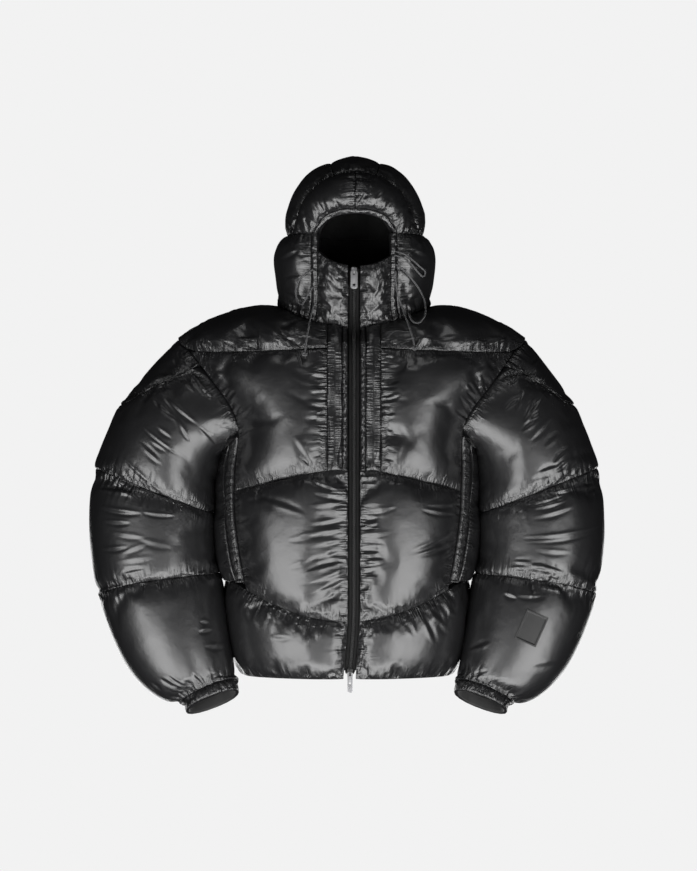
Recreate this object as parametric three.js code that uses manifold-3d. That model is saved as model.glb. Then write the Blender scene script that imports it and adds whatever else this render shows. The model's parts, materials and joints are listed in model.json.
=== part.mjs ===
// A hooded puffer jacket, filled out as if worn, with nobody in it.
// Millimetres. +X is the wearer's left, +Y is the back, +Z is up.
// The origin is the middle of the neck, level with the front of the collar seam.
//
// Every panel is a wall between two skins. The outer skin rises from a thin seam to a full crown,
// and the inner skin is the plain lining. Panels that share a seam share its points, a hair apart.
import * as THREE from "three";
import { mergeVertices } from "three/addons/utils/BufferGeometryUtils.js";
import Module from "manifold-3d";

// Driving sizes
const GAP = 0.3; // between two pieces along a seam
const SEAM = 4; // wall at a sewn seam
const ROUND = 38; // how far from a seam the filling reaches its full height
const BODY_LOFT = 22;
const HEM_LEVEL = -620;
const NECK_LEVEL = 30;
const SHOULDER_LEVEL = -31;
const BELLY_SIDE_LEVEL = -452;
const ZIP_HALF = 10.5; // zip tapes and chain together
const GATHER_EDGE = 21;
const BAND_EDGE = 46.3;
const CHANNEL_IN = 68;
const CHANNEL_OUT = 80;
const WELT_HALF = 7;
const WELT_GAP = 0.8;
const ARMHOLE_ROOM = 3.3;
const SIDE_SEAM = 90; // turn, in degrees from the front centre
const CORD_DIAMETER = 3;

const BLACK = 0x0b0b0c;
const cloth = new THREE.MeshStandardMaterial({ color: BLACK, roughness: 0.32, metalness: 0 });
const mattCloth = new THREE.MeshStandardMaterial({ color: 0x101011, roughness: 0.7, metalness: 0 });
const zipBlack = new THREE.MeshStandardMaterial({ color: 0x060606, roughness: 0.5, metalness: 0.1 });
const metal = new THREE.MeshStandardMaterial({ color: 0xc4c4c8, roughness: 0.25, metalness: 1 });
const cordBlack = new THREE.MeshStandardMaterial({ color: 0x181818, roughness: 0.6, metalness: 0 });

const jacket = new THREE.Group();

function add(name, geometry, material) {
  const mesh = new THREE.Mesh(geometry, material);
  mesh.name = name;
  jacket.add(mesh);
  return mesh;
}

const rad = THREE.MathUtils.degToRad;
const deg = THREE.MathUtils.radToDeg;
const mix = THREE.MathUtils.lerp;
const clamp = THREE.MathUtils.clamp;
const even = (count) => Array.from({ length: count + 1 }, (_, i) => i / count);
// Closer together at both ends, where the filling rises from the seam.
const crowded = (count) => even(count).map((f) => 0.5 - 0.5 * Math.cos(Math.PI * f));
const power = (value, exponent) => Math.sign(value) * Math.abs(value) ** exponent;

// A table is a line of column names and a row of numbers for each section.
function table(columns, ...rows) {
  const names = columns.split(" ");
  return rows.map((row) => Object.fromEntries(names.map((name, i) => [name, row[i]])));
}

// A smooth curve through one column of a table, read at a value of its first column.
function read(rows, key, column, at) {
  const last = rows.length - 1;
  let i = 0;
  while (i < last - 1 && at > rows[i + 1][key]) i += 1;
  const slope = (k) => {
    const a = rows[Math.max(k - 1, 0)];
    const b = rows[Math.min(k + 1, last)];
    return (b[column] - a[column]) / (b[key] - a[key]);
  };
  const width = rows[i + 1][key] - rows[i][key];
  const f = clamp((at - rows[i][key]) / width, 0, 1);
  const f2 = f * f;
  const f3 = f2 * f;
  return (
    (2 * f3 - 3 * f2 + 1) * rows[i][column] +
    (f3 - 2 * f2 + f) * width * slope(i) +
    (3 * f2 - 2 * f3) * rows[i + 1][column] +
    (f3 - f2) * width * slope(i + 1)
  );
}

// A closed solid between an outer and an inner grid of points. A ring's columns join up.
function wall(outer, inner, ring = false) {
  const rows = outer.length;
  const cols = outer[0].length;
  const points = [...outer.flat(), ...inner.flat()];
  const at = (layer, r, c) => layer * rows * cols + r * cols + (c % cols);
  const faces = [];
  const quad = (a, b, c, d) => faces.push(a, b, c, a, c, d);
  const spans = ring ? cols : cols - 1;
  for (let r = 0; r < rows - 1; r += 1)
    for (let c = 0; c < spans; c += 1) {
      quad(at(0, r, c), at(0, r, c + 1), at(0, r + 1, c + 1), at(0, r + 1, c));
      quad(at(1, r, c), at(1, r + 1, c), at(1, r + 1, c + 1), at(1, r, c + 1));
    }
  for (let c = 0; c < spans; c += 1) {
    quad(at(0, 0, c), at(1, 0, c), at(1, 0, c + 1), at(0, 0, c + 1));
    quad(at(0, rows - 1, c), at(0, rows - 1, c + 1), at(1, rows - 1, c + 1), at(1, rows - 1, c));
  }
  if (!ring)
    for (let r = 0; r < rows - 1; r += 1) {
      quad(at(0, r, 0), at(0, r + 1, 0), at(1, r + 1, 0), at(1, r, 0));
      quad(at(0, r, cols - 1), at(1, r, cols - 1), at(1, r + 1, cols - 1), at(0, r + 1, cols - 1));
    }
  const volume = new THREE.Vector3();
  let sum = 0;
  for (let i = 0; i < faces.length; i += 3) {
    volume.crossVectors(points[faces[i + 1]], points[faces[i + 2]]);
    sum += points[faces[i]].dot(volume);
  }
  if (sum < 0) {
    for (let i = 0; i < faces.length; i += 3) [faces[i + 1], faces[i + 2]] = [faces[i + 2], faces[i + 1]];
  }
  return new THREE.BufferGeometry().setFromPoints(points).setIndex(faces);
}

// Share of the full height at a distance from a seam: a quarter round, then level.
function rise(distance, reach = ROUND) {
  const f = 1 - clamp(distance / reach, 0, 1);
  return Math.sqrt(1 - f * f);
}

// The body: one tube from the hem to the neck.
// Half is the half width, front and back are the depths, square is how boxy the section is.
const BODY = table(
  "level sideZ frontZ backZ shift half front back square",
  [-620, -620, -620, -620, -12, 190, 136, 127, 2.3],
  [-600, -600, -600, -600, -12, 200, 143, 134, 2.4],
  [-560, -560, -560, -560, -12, 206, 151, 141, 2.5],
  [-500, -500, -500, -500, -12, 213, 158, 147, 2.5],
  [-440, -440, -440, -440, -12, 224, 164, 151, 2.5],
  [-364, -364, -364, -364, -12, 231, 168, 154, 2.5],
  [-280, -280, -280, -280, -11, 229, 166, 154, 2.5],
  [-210, -210, -210, -210, -7, 224, 162, 152, 2.5],
  [-165, -165, -165, -165, -4, 243, 159, 150, 2.5],
  [-130, -130, -130, -130, -1, 268, 156, 148, 2.5],
  [-70, -70, -70, -70, -3, 297, 148, 140, 2.5],
  [-31, -29, -31, -28, -4, 302, 139, 130, 2.4],
  [-12, -3, -22, -10, -3, 262, 131, 120, 2.3],
  [8, 17, -12, 12, -1, 207, 119, 105, 2.15],
  [30, 38, -2, 38, 0, 137, 104, 88, 2],
);

// The hood below its side seam, from the neck up. Step 4 is level all round.
const HOOD = table(
  "level sideZ frontZ backZ shift half front back square",
  [0, 38, -2, 38, 0, 137, 104, 88, 2],
  [1, 60, 30, 64, 1, 133, 113, 101, 2.1],
  [2, 102, 84, 100, 1, 139, 120, 117, 2.3],
  [3, 130, 124, 130, 1, 137, 121, 121, 2.4],
  [4, 150, 150, 150, 2, 130, 117, 121, 2.4],
);
const HOOD_TOP = 4;

// The hood above that seam, as arches from ear to ear, from the rim (0) to the back.
// Turn is where an arch stands on the seam, high its rise, topY its middle's place front to back.
const ARCH = table(
  "step turn high topY",
  [0, 29, 27, -122],
  [1, 38, 54, -134],
  [2, 50, 86, -128],
  [3, 64, 114, -98],
  [4, 80, 133, -54],
  [5, 98, 139, 0],
  [6, 118, 128, 55],
  [7, 138, 98, 95],
  [8, 152, 52, 116],
  [9, 162, 0, 119],
);
const RIM_STEP = 0.38;
const ARCH_TUCK = 0.055;
const BRIM_STEP = 3;
const ARCH_END = 9;

// The sleeve, as rings from the armhole (0) to the cuff's end (10), for the wearer's left.
// Out and in are its outer and inner edges, deep its half depth, lift how far its front edge is raised,
// full the room between its outer surface and its lining.
const SLEEVE = table(
  "ring outX outZ inX inZ y deep lift full shift",
  [0, 306, -31, 224, -204, -3, 88, 0, 22, -4],
  [1, 381, -124, 231, -262, -5, 98, 0, 21, -11],
  [2, 425, -215, 232, -312, -8, 97, 0, 20, -13],
  [3, 447, -311, 233, -364, -12, 95, 0, 20, -13],
  [4, 447, -399, 229, -416, -17, 93, 0, 20, -12],
  [5, 431, -478, 215, -469, -24, 91, 1, 20, -12],
  [6, 409, -548, 207, -521, -33, 87, 3, 19, -12],
  [7, 378, -612, 201, -574, -43, 78, 8, 17, -12],
  [8, 332, -652, 194, -607, -54, 60, 14, 13, -13],
  [9, 286, -661, 189, -624, -62, 43, 15, 8, -13],
  [10, 279, -677, 185, -642, -68, 42, 15, 7, -13],
);
const CUFF_RING = 9;
const SLEEVE_END = 10;
const SQUARE_UP = 0.9;

// A point of a tube's outer skin. Turn is 0 at the front centre, 90 at the wearer's left, 180 behind.
function tubePoint(rows, turn, level) {
  const get = (column) => read(rows, "level", column, level);
  const across = Math.sin(rad(turn));
  const ahead = Math.cos(rad(turn));
  const round = 2 / get("square");
  const depth = ahead > 0 ? get("front") : get("back");
  const endZ = ahead > 0 ? get("frontZ") : get("backZ");
  return new THREE.Vector3(
    get("shift") + get("half") * power(across, round),
    -depth * power(ahead, round),
    mix(get("sideZ"), endZ, ahead * ahead),
  );
}

function outward(surface, turn, level, turnStep, levelStep) {
  const along = surface(turn + turnStep, level).sub(surface(turn - turnStep, level));
  const up = surface(turn, level + levelStep).sub(surface(turn, level - levelStep));
  return along.cross(up).normalize();
}

const bodyPoint = (turn, level) => tubePoint(BODY, turn, level);
const bodyOut = (turn, level) => outward(bodyPoint, turn, Math.min(level, NECK_LEVEL - 1), 0.7, 1);
const hoodPoint = (turn, level) => tubePoint(HOOD, turn, level);
const hoodSelf = (turn, level) => outward(hoodPoint, turn, clamp(level, 0.03, 3.97), 0.7, 0.03);

// Straight out, level, from the hood's upper seam.
function levelOut(point) {
  const { half, front, back, square, shift } = HOOD[HOOD_TOP];
  const x = (point.x - shift) / half;
  const depth = point.y < 0 ? front : back;
  const y = point.y / depth;
  return new THREE.Vector3(power(x, square - 1) / half, power(y, square - 1) / depth, 0).normalize();
}

// At the neck the hood's wall leans as the body's does, and at its upper seam it stands level.
function hoodOut(turn, level) {
  const own = hoodSelf(turn, level);
  own.lerp(levelOut(hoodPoint(turn, level)), THREE.MathUtils.smoothstep(level, 3.1, 3.9));
  return bodyOut(turn, NECK_LEVEL).lerp(own, THREE.MathUtils.smoothstep(level, 0, 0.8)).normalize();
}

// A point of the hood's upper part, by share of the way over an arch and by arch.
function archPoint(over, step) {
  const turn = read(ARCH, "step", "turn", step);
  const left = hoodPoint(-turn, HOOD_TOP);
  const right = hoodPoint(turn, HOOD_TOP);
  const across = Math.cos(Math.PI * over);
  const up = Math.sin(Math.PI * over);
  const half = ((right.x - left.x) / 2) * (1 - ARCH_TUCK * THREE.MathUtils.smoothstep(up, 0, 0.35));
  return new THREE.Vector3(
    (left.x + right.x) / 2 - half * power(across, SQUARE_UP),
    mix(left.y, read(ARCH, "step", "topY", step), up ** 1.5),
    left.z + read(ARCH, "step", "high", step) * power(up, SQUARE_UP),
  );
}
function archOut(over, step) {
  const point = archPoint(over, step);
  const own = outward(archPoint, clamp(over, 0.02, 0.98), clamp(step, 0.1, ARCH_END - 0.1), 0.015, 0.08);
  const above = THREE.MathUtils.smoothstep(point.z - HOOD[HOOD_TOP].sideZ, 0, 30);
  return levelOut(point).lerp(own, above).normalize();
}

// The turn at which a tube's front is x from the zip, on the side of the sign.
const zipX = (level) => -8 * THREE.MathUtils.smoothstep(-level, 500, 640);
function turnAtX(rows, x, level, zip = 0) {
  const get = (column) => read(rows, "level", column, level);
  const from = zip + x - get("shift");
  const share = clamp(Math.abs(from) / get("half"), 0, 1);
  return Math.sign(from) * deg(Math.asin(share ** (get("square") / 2)));
}
const bodyTurn = (x, level) => turnAtX(BODY, x, level, zipX(level));
const hoodTurn = (x, level) => turnAtX(HOOD, x, level);

// Seam heights, by distance from the middle.
const yokeSeam = (x) => -46 - 0.034 * Math.abs(x);
const chestSeam = (x) => -258 - 0.23 * Math.max(0, Math.abs(x) - 48);
const bellySeam = (x) => Math.min(BELLY_SIDE_LEVEL, -519 + 67 * (Math.abs(x) / 199) ** 2);
const bodyShift = (level) => read(BODY, "level", "shift", level);
const seamAt = (seam, nominal) => (turn) => seam(bodyPoint(turn, nominal).x - bodyShift(nominal));

// The armhole, as an egg in turn and level around the side seam: tall above its widest level, short below.
const ARMHOLE = { level: -160, above: 129, below: 52, wide: 33, aboveRound: 1.71, belowRound: 4 };
function armholeTurn(level, room = 0) {
  const [high, exponent] =
    level > ARMHOLE.level ? [ARMHOLE.above, ARMHOLE.aboveRound] : [ARMHOLE.below, ARMHOLE.belowRound];
  const f = clamp(Math.abs(level - ARMHOLE.level) / (high + room), 0, 1);
  return SIDE_SEAM - (ARMHOLE.wide + room / 4) * (1 - f ** exponent) ** (1 / exponent);
}
function armholeEnd(turn, high, exponent) {
  const f = clamp(Math.abs(Math.abs(turn) - SIDE_SEAM) / ARMHOLE.wide, 0, 1);
  return ARMHOLE.level + high * (1 - f ** exponent) ** (1 / exponent);
}
const armholeTop = (turn) => armholeEnd(turn, ARMHOLE.above, ARMHOLE.aboveRound);
const armholeBottom = (turn) => armholeEnd(turn, -ARMHOLE.below, ARMHOLE.belowRound);

// The level at which the armhole meets the yoke seam.
const YOKE_END = Array(9)
  .fill(0)
  .reduce((level) => seamAt(yokeSeam, -50)(armholeTurn(level)), -54);

// The pocket welt's middle line, by level.
const WELT = table(
  "level x",
  [-455, 191],
  [-400, 202],
  [-330, 211],
  [-260, 213],
  [-190, 208],
);
const WELT_TOP = -192;
function weltTurn(anyLevel, out) {
  const level = Math.min(anyLevel, WELT_TOP);
  return turnAtX(BODY, read(WELT, "level", "x", level) + out, level, bodyShift(level));
}

// The armhole's points: from the shoulder down the front, under the arm and up the back.
const LOOP_YOKE = 2;
const LOOP_CORNER = 8;
const LOOP_WELT = 9;
const LOOP_HALF = 11;
const LOOP_ALL = 2 * LOOP_HALF;
function weltCorner(out) {
  let level = WELT_TOP;
  for (let i = 0; i < 12; i += 1) level = armholeBottom(weltTurn(level, out));
  return [weltTurn(level, out), level];
}
function armholeLoop() {
  const [cornerTurn, cornerLevel] = weltCorner(-WELT_HALF - WELT_GAP / 2);
  const [weltOuter] = weltCorner(WELT_HALF + WELT_GAP / 2);
  const half = [];
  for (let k = 0; k <= LOOP_HALF; k += 1) {
    if (k <= LOOP_YOKE) {
      const turn = mix(SIDE_SEAM, armholeTurn(YOKE_END), k / LOOP_YOKE);
      half.push([turn, armholeTop(turn)]);
    } else if (k <= LOOP_CORNER) {
      const level = mix(YOKE_END, cornerLevel, (k - LOOP_YOKE) / (LOOP_CORNER - LOOP_YOKE));
      half.push([k === LOOP_CORNER ? cornerTurn : armholeTurn(level), level]);
    } else {
      const turn = mix(weltOuter, SIDE_SEAM, (k - LOOP_WELT) / (LOOP_HALF - LOOP_WELT));
      half.push([turn, armholeBottom(turn)]);
    }
  }
  const back = half.slice(1, -1).reverse();
  return [...half, ...back.map(([turn, level]) => [2 * SIDE_SEAM - turn, level])];
}
const LOOP = armholeLoop();

// The armhole's lower edge between the two corners.
function underarm(turn) {
  const most = SIDE_SEAM - LOOP[LOOP_CORNER][0];
  return armholeBottom(SIDE_SEAM + clamp(Math.abs(turn) - SIDE_SEAM, -most, most));
}

// A panel on a surface. From and to give its sides as turns, low and high its ends as levels.
// Columns and rows are shares of its width and height.
function panelGrid(panel) {
  const { surface, from, to, low, high, columns, rows } = panel;
  const middle = (from(low(0)) + to(low(0))) / 2;
  const place = (s, t) => {
    let turn = middle;
    let level = mix(low(turn), high(turn), t);
    for (let i = 0; i < 12; i += 1) {
      turn = mix(from(level), to(level), s);
      level = mix(low(turn), high(turn), t);
    }
    return [turn, level];
  };
  const nudge = (f, size) => clamp(f, GAP / 2 / size, 1 - GAP / 2 / size);
  const size = (a, b) => surface(...a).distanceTo(surface(...b));
  return rows.map((t) =>
    columns.map((s) => {
      const width = size(place(0, t), place(0.5, t)) + size(place(0.5, t), place(1, t));
      const height = size(place(s, 0), place(s, 0.5)) + size(place(s, 0.5), place(s, 1));
      const [turn, level] = place(nudge(s, width), nudge(t, height));
      const sides = { left: s * width, right: (1 - s) * width, down: t * height, up: (1 - t) * height };
      return { turn, level, s, t, ...sides };
    }),
  );
}

// Builds a panel's solid. Drop is how far each side sinks to its seam, from 0 to 1.
function panel(name, spec, material = cloth) {
  const { surface, out, loft, full = loft, reach = ROUND, seam = SEAM, shape = () => 0 } = spec;
  const drop = { left: 1, right: 1, down: 1, up: 1, ...spec.drop };
  const grid = panelGrid(spec);
  const sunk = (spot, side) => 1 - drop[side] * (1 - rise(spot[side], reach));
  const share = (spot) => Object.keys(drop).reduce((product, side) => product * sunk(spot, side), 1);
  const sink = ({ turn, level }, depth) => surface(turn, level).addScaledVector(out(turn, level), -depth);
  const skin = (depth) => grid.map((line) => line.map((spot) => sink(spot, depth(spot))));
  const inner = skin(() => full);
  const outer = skin((spot) => full - (seam + (loft - seam) * share(spot)) - shape(spot));
  return add(name, wall(outer, inner), material);
}

// The turns at which a panel's columns meet a seam, and the shares that put columns at given turns.
function turnsAlong(columns, from, to, seam) {
  return columns.map((s) => {
    let turn = mix(from(seam(SIDE_SEAM)), to(seam(SIDE_SEAM)), s);
    for (let i = 0; i < 12; i += 1) turn = mix(from(seam(turn)), to(seam(turn)), s);
    return turn;
  });
}
function columnsAt(turns, from, to, seam) {
  return turns.map((turn) => (turn - from(seam(turn))) / (to(seam(turn)) - from(seam(turn))));
}

// Shares that put a panel's rows at the armhole's points.
function loopRows(first, last, low, high) {
  const rows = [];
  for (let k = first; k >= last; k -= 1) rows.push((LOOP[k][1] - low) / (high - low));
  return rows;
}

const SIDES = [
  ["left", 1],
  ["right", -1],
];

// The body's panels
const gatherWave = (count, height) => (spot) => (Math.round(spot.t * count * 2) % 2 ? height : 0);
const BODY_SURFACE = { surface: bodyPoint, out: bodyOut, loft: BODY_LOFT };

for (const [label, side] of SIDES) {
  const edge = (x) => (level) => bodyTurn(side * x, level);
  const ridge = side * SIDE_SEAM;
  const arm = (level) => side * armholeTurn(Math.min(level, SHOULDER_LEVEL + ARMHOLE_ROOM), ARMHOLE_ROOM);
  const weltIn = (level) => side * weltTurn(level, -WELT_HALF - WELT_GAP);
  const weltOut = (level) => side * weltTurn(level, WELT_HALF + WELT_GAP);
  const outer = (level) => (level > LOOP[LOOP_CORNER][1] ? arm(level) : weltIn(level));
  const chestLow = seamAt(chestSeam, -275);
  const yokeLow = seamAt(yokeSeam, -50);
  const bellyLow = seamAt(bellySeam, -500);

  // Columns meet the hood's channel at the neck and run down through yoke and chest.
  const neckTurns = [BAND_EDGE, CHANNEL_IN, CHANNEL_OUT].map((x) => bodyTurn(side * x, NECK_LEVEL));
  const span = ridge - neckTurns[0];
  const neckShares = neckTurns.map((turn) => (turn - neckTurns[0]) / span);
  const columns = [...neckShares, ...even(4).slice(1).map((f) => mix(neckShares[2], 1, f))];
  const chestEnd = chestLow(turnsAlong([1], edge(BAND_EDGE), outer, chestLow)[0]);
  const yokeRows = loopRows(LOOP_YOKE, 0, YOKE_END, NECK_LEVEL);
  const chestRows = loopRows(LOOP_CORNER, LOOP_YOKE, chestEnd, YOKE_END);
  const below = chestRows[0];

  panel(`yoke_front_${label}`, {
    ...BODY_SURFACE,
    from: edge(BAND_EDGE),
    to: arm,
    low: yokeLow,
    high: () => NECK_LEVEL,
    columns,
    rows: [...yokeRows, 0.45, 0.66, 0.86, 1],
    drop: { right: 0.25 },
  });
  panel(`chest_${label}`, {
    ...BODY_SURFACE,
    from: edge(BAND_EDGE),
    to: outer,
    low: chestLow,
    high: yokeLow,
    columns,
    rows: [0, below * 0.3, below * 0.65, ...chestRows],
  });

  // The belly's columns are the chest's, with those of the zip's edging before them.
  const chestTurns = turnsAlong(columns, edge(BAND_EDGE), outer, chestLow);
  const edgingTurns = [ZIP_HALF, 15.75, GATHER_EDGE, 33.5].map((x) => edge(x)(-258));
  const bellyColumns = columnsAt([...edgingTurns, ...chestTurns], edge(ZIP_HALF), outer, chestLow);
  panel(`belly_${label}`, {
    ...BODY_SURFACE,
    from: edge(ZIP_HALF),
    to: outer,
    low: bellyLow,
    high: chestLow,
    columns: bellyColumns,
    rows: crowded(7),
  });

  // The side panel has its own quilting seam half way down.
  const backEdge = (level) => side * 2 * SIDE_SEAM - weltOut(level);
  const loopTurns = LOOP.slice(LOOP_WELT, LOOP_ALL - LOOP_WELT + 1).map(([turn]) => side * turn);
  const sideColumns = columnsAt(loopTurns, weltOut, backEdge, underarm);
  const sideTurns = sideColumns.map((s) => mix(weltOut(BELLY_SIDE_LEVEL), backEdge(BELLY_SIDE_LEVEL), s));
  const SIDE_QUILT = -322;
  panel(`side_panel_${label}`, {
    ...BODY_SURFACE,
    from: weltOut,
    to: backEdge,
    low: () => BELLY_SIDE_LEVEL + GAP,
    high: (turn) => underarm(turn) - ARMHOLE_ROOM,
    columns: sideColumns,
    rows: [0, 0.06, 0.17, 0.34, 0.46, 0.52, 0.58, 0.7, 0.85, 0.95, 1],
    shape: (spot) => -14 * (1 - rise(Math.abs(spot.level - SIDE_QUILT), 26)),
    drop: { left: 0.6, right: 0.6, up: 0.6, down: 0.6 },
  });

  const bellyTurns = turnsAlong(bellyColumns, edge(ZIP_HALF), weltIn, bellyLow);
  const hemTurns = [...bellyTurns, ...sideTurns.slice(0, 3)];
  const hemColumns = columnsAt(hemTurns, edge(ZIP_HALF), () => ridge, bellyLow);
  panel(`hem_front_${label}`, {
    ...BODY_SURFACE,
    from: edge(ZIP_HALF),
    to: () => ridge,
    low: () => HEM_LEVEL,
    high: bellyLow,
    columns: hemColumns,
    rows: crowded(6),
    drop: { down: 0.8, right: 0.35 },
  });

  // The gathered pocket welt
  const WELT_GATHERS = 18;
  panel(`pocket_welt_${label}`, {
    ...BODY_SURFACE,
    loft: 18,
    full: BODY_LOFT,
    seam: 9,
    reach: 6,
    from: (level) => side * weltTurn(level, -WELT_HALF),
    to: (level) => side * weltTurn(level, WELT_HALF),
    low: () => BELLY_SIDE_LEVEL,
    high: (turn) => underarm(turn) - 1.5,
    columns: [0, 0.5, 1],
    rows: even(WELT_GATHERS * 2),
    shape: (spot) => -gatherWave(WELT_GATHERS, 2.6)(spot),
    drop: { down: 0 },
  });

  // Beside the zip: a gathered edging, then a flat band over the chest pocket.
  const EDGING_GATHERS = 16;
  panel(`zip_edging_${label}`, {
    ...BODY_SURFACE,
    loft: 12,
    full: BODY_LOFT,
    reach: 5,
    from: edge(ZIP_HALF),
    to: edge(GATHER_EDGE),
    low: chestLow,
    high: () => NECK_LEVEL,
    columns: [0, 0.5, 1],
    rows: even(EDGING_GATHERS * 2),
    shape: (spot) => -gatherWave(EDGING_GATHERS, 2)(spot),
    drop: { up: 0, down: 0 },
  });
  panel(`chest_band_${label}`, {
    ...BODY_SURFACE,
    loft: 13,
    full: BODY_LOFT,
    reach: 4,
    from: edge(GATHER_EDGE),
    to: edge(BAND_EDGE),
    low: chestLow,
    high: () => NECK_LEVEL,
    columns: [0, 0.12, 0.5, 0.88, 1],
    rows: [0, 0.02, ...even(6).slice(1, -1), 0.98, 1],
    drop: { up: 1, down: 1 },
  });
}

// The back is cut across, from side to side.
const BACK_COLUMNS = 12;
const rightOf = (f) => (level) => 360 - f(level);
const backArm = (level) => 180 - armholeTurn(Math.min(level, SHOULDER_LEVEL + ARMHOLE_ROOM), ARMHOLE_ROOM);
const backSide = (level) => 180 - weltTurn(level, WELT_HALF);
const backOuter = (level) => (level > LOOP[LOOP_WELT][1] ? backArm(level) : backSide(level));
const backShares = crowded(BACK_COLUMNS);
const backChestLow = seamAt(chestSeam, -275);
const backYokeLow = seamAt(yokeSeam, -50);
const backBellyLow = seamAt(bellySeam, -500);
const backChestEnd = backChestLow(turnsAlong([0], backOuter, rightOf(backOuter), backChestLow)[0]);
const backRows = loopRows(LOOP_WELT, LOOP_YOKE, backChestEnd, YOKE_END);
const BACK = { ...BODY_SURFACE, columns: backShares, drop: {} };
panel("yoke_back", {
  ...BACK,
  from: backArm,
  to: rightOf(backArm),
  low: backYokeLow,
  high: () => NECK_LEVEL,
  rows: [...loopRows(LOOP_YOKE, 0, YOKE_END, NECK_LEVEL), 0.45, 0.66, 0.86, 1],
  drop: { left: 0.25, right: 0.25 },
});
panel("back_upper", {
  ...BACK,
  from: backOuter,
  to: rightOf(backOuter),
  low: backChestLow,
  high: backYokeLow,
  rows: [0, backRows[0] * 0.3, backRows[0] * 0.65, ...backRows],
});
panel("back_lower", {
  ...BACK,
  from: backSide,
  to: rightOf(backSide),
  low: backBellyLow,
  high: backChestLow,
  rows: crowded(6),
});
const backTurns = turnsAlong(backShares, backSide, rightOf(backSide), backBellyLow);
const sideHalf = (LOOP[LOOP_HALF + 1][0] - SIDE_SEAM) / (180 - LOOP[LOOP_WELT][0] - SIDE_SEAM);
const hemSides = [0, sideHalf].map((f) => mix(SIDE_SEAM, backTurns[0], f));
const backHemTurns = [...hemSides, ...backTurns, ...hemSides.map((turn) => 360 - turn).reverse()];
panel("hem_back", {
  ...BACK,
  from: () => SIDE_SEAM,
  to: () => 360 - SIDE_SEAM,
  low: () => HEM_LEVEL,
  high: backBellyLow,
  columns: columnsAt(backHemTurns, () => SIDE_SEAM, () => 360 - SIDE_SEAM, backBellyLow),
  rows: crowded(6),
  drop: { down: 0.8, left: 0.35, right: 0.35 },
});

// The hood, below its upper seam
const HOOD_SURFACE = { surface: hoodPoint, out: hoodOut, loft: BODY_LOFT };
const neck = () => 0.014;
const COLLAR_SHARES = backShares.filter((s) => s > 0.24 && s < 0.76).map((s) => (s - 0.25) / 0.5);
const hoodTop = () => HOOD_TOP;
const FACE = { x: 5, z: 135, wide: 76, high: 42 };
const EAR_TURN = 135;

// The level at which the tube's surface stands at a height.
function levelAtHeight(turn, height) {
  let low = 0;
  let high = HOOD_TOP;
  for (let i = 0; i < 30; i += 1) {
    const middle = (low + high) / 2;
    if (hoodPoint(turn, middle).z < height) low = middle;
    else high = middle;
  }
  return low;
}
function faceRim(turn) {
  const x = hoodPoint(turn, 3).x;
  const f = clamp((x - FACE.x) / FACE.wide, -1, 1);
  return levelAtHeight(turn, FACE.z - FACE.high * Math.sqrt(1 - f * f));
}

for (const [label, side] of SIDES) {
  const edge = (x) => (level) => hoodTurn(side * x, level);
  const shareAt = (from, to) => (x) => (edge(x)(0) - edge(from)(0)) / (edge(to)(0) - edge(from)(0));
  panel(`chin_${label}`, {
    ...HOOD_SURFACE,
    from: edge(ZIP_HALF),
    to: edge(CHANNEL_IN - 0.4),
    low: neck,
    high: faceRim,
    columns: [ZIP_HALF, GATHER_EDGE, 33.5, BAND_EDGE, 57, CHANNEL_IN].map(shareAt(ZIP_HALF, CHANNEL_IN)),
    rows: crowded(6),
    reach: 30,
    drop: { up: 0.7 },
  });
  const CHANNEL_GATHERS = 9;
  panel(`hood_channel_${label}`, {
    ...HOOD_SURFACE,
    loft: 11,
    full: BODY_LOFT,
    reach: 5,
    from: edge(CHANNEL_IN),
    to: edge(CHANNEL_OUT),
    low: neck,
    high: hoodTop,
    columns: [0, 0.5, 1],
    rows: even(CHANNEL_GATHERS * 2),
    shape: (spot) => -gatherWave(CHANNEL_GATHERS, 2)(spot),
    drop: { up: 0, down: 0 },
  });
  const ear = side * EAR_TURN;
  const channelTurn = edge(CHANNEL_OUT)(0);
  const cheekTurns = [
    ...even(4).map((f) => mix(channelTurn, side * SIDE_SEAM, f)),
    ...backShares.slice(1, 5).map((s) => side * mix(SIDE_SEAM, 2 * SIDE_SEAM + SIDE_SEAM, s)),
  ];
  panel(`cheek_${label}`, {
    ...HOOD_SURFACE,
    from: edge(CHANNEL_OUT),
    to: () => ear,
    low: neck,
    high: hoodTop,
    columns: cheekTurns.map((turn) => (turn - channelTurn) / (ear - channelTurn)),
    rows: crowded(7),
    drop: { right: 0.5 },
  });
}
panel("collar_back", {
  ...HOOD_SURFACE,
  from: () => EAR_TURN,
  to: () => 360 - EAR_TURN,
  low: neck,
  high: hoodTop,
  columns: COLLAR_SHARES,
  rows: crowded(7),
  drop: { left: 0.5, right: 0.5 },
});

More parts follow.
